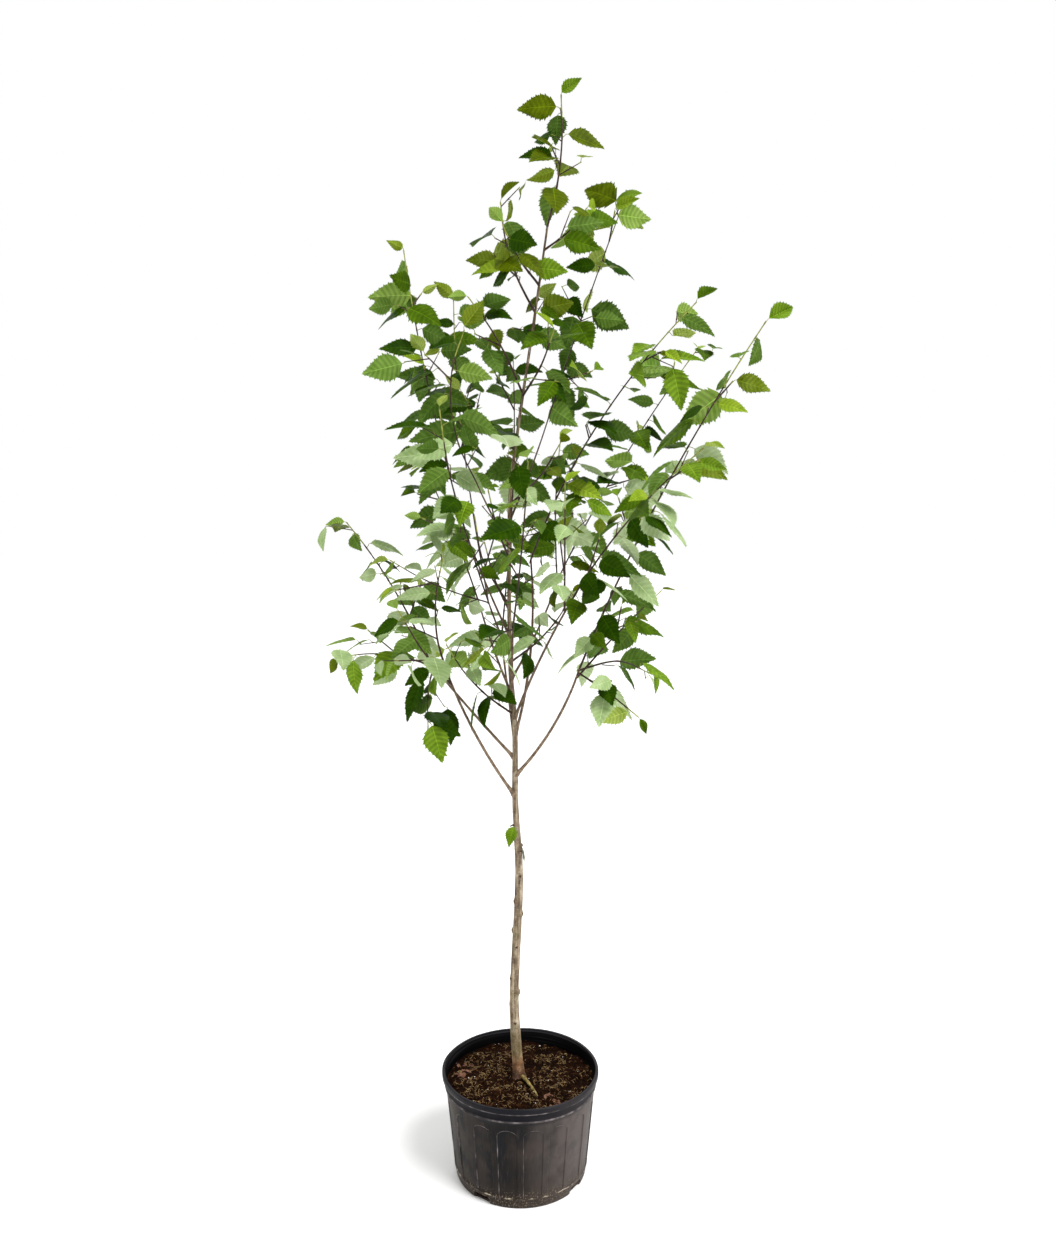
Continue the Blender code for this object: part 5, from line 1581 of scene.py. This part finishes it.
leaf_parts = {kind: ([], [], [], set()) for kind in LEAF_KINDS}
stalks = Tubes()
chance = random.Random(LEAF_SEED)
for name, (_, sprays) in grown.items():
    for spray in sprays:
        mood = chance.choice(list(LEAF_KINDS))
        for leaf in spray:
            points, faces, which, nodes_of = leaf_parts[kind_of(leaf, mood, chance)]
            blade = blade_points(
                leaf.length * np.interp(leaf.base.z, *LEAF_GROWTH) * chance.triangular(*LEAF_STRAY),
                fold=chance.uniform(0.45, 0.9) if leaf.young else chance.uniform(0.10, 0.38),
                arch=chance.uniform(0.3, 0.9),
                fall=chance.uniform(0.02, 0.16) if leaf.young else chance.uniform(0.06, 0.26),
                twist=chance.gauss(0, 0.16),
                wave=chance.uniform(0.0, 0.07),
                narrow=chance.uniform(0.66, 0.86) if leaf.young else chance.uniform(0.82, 1.04),
                phase=chance.uniform(0, 6),
            )
            turn, base, root = np.array(leaf.turn), np.array(leaf.base), np.array(leaf.root)
            start = len(points) * len(blade)
            points.append(blade @ turn.T + base)
            faces += [[index + start for index in face] for face, _ in blade_faces]
            which += [skin for _, skin in blade_faces]
            nodes_of.add(name)

            start_way = turn[:, 0] * math.cos(PETIOLE_RISE) + turn[:, 2] * math.sin(PETIOLE_RISE)
            span = np.linalg.norm(base - root)
            shares = np.linspace(0, 1, STALK_RINGS)[:, None]
            leaving, arriving = root + start_way * span * 0.4, base - turn[:, 0] * span * 0.35
            bow = (root * (1 - shares) ** 3 + 3 * leaving * shares * (1 - shares) ** 2
                   + 3 * arriving * shares ** 2 * (1 - shares) + base * shares ** 3)
            bow[-1] += turn[:, 0] * 0.03 * leaf.length
            girth = np.interp(shares[:, 0], *STALK_GIRTH) * (0.7 + 3.4 * leaf.length)
            stalks.add(bow, girth, STALK_SIDES)


def scaled(code, share):
    """An sRGB hex colour with its three values cut or raised to a share."""
    values = (min(255, round(int(code[start:start + 2], 16) * share)) for start in (1, 3, 5))
    return "#" + "".join(f"{value:02x}" for value in values)


# A birch leaf's upper skin is thin broken wax over green, satin at most; the underside is paler,
# downy and duller; and the midrib is a smooth yellow-green cord on both. The pleat finishes are the
# same colours cut darker, as painted shade. Cells are far too fine to show, so the bump is drawn as
# grain 1.6 and 1.2 mm wide.
for kind, (upper, under, shade) in LEAF_KINDS.items():
    finishes = []
    for side, (dark, pale), dull, fine in (("upper", upper, 0.50, 0.0016), ("under", under, 0.65, 0.0012)):
        for part, darker, paler, patch, rough in (
            ("", (0.30, dark), (0.70, pale), 0.022, dull),
            ("_rib", (0.30, pale), (0.55, scaled(pale, RIB_PALE)), 0.010, 0.50),
            ("_pleat", (0.30, scaled(dark, shade)), (0.70, scaled(pale, shade)), 0.022, dull),
        ):
            finishes.append(finish(f"birch_leaf_{kind}_{side}{part}", (patch, 3.0), (darker, paler),
                                   relief=[(fine, 2.0)], deep=0.0003, dull=rough, ior=1.40, gloss=LEAF_GLOSS))
    points, faces, which, nodes_of = leaf_parts[kind]
    leaves = joined(f"leaves_{kind}", np.vstack(points), faces, finishes, which, PLEAT_SHARP)
    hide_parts(*sorted(nodes_of))

# Leaf stalks: each leaf hangs from its twig by a thin stalk that has grown on from both, and that
# bends as it turns the blade. Its skin is smooth and slightly waxy, yellow-green in browner patches.
petiole_skin = finish("petiole_skin", (0.010, 2.0), ((0.30, "#5d5a2c"), (0.55, "#83893f"), (0.80, "#9fa75a")),
                      dull=0.5, gloss=BARK_GLOSS)
petioles = stalks.piece("petioles", [petiole_skin], 60)
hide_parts(*masses)
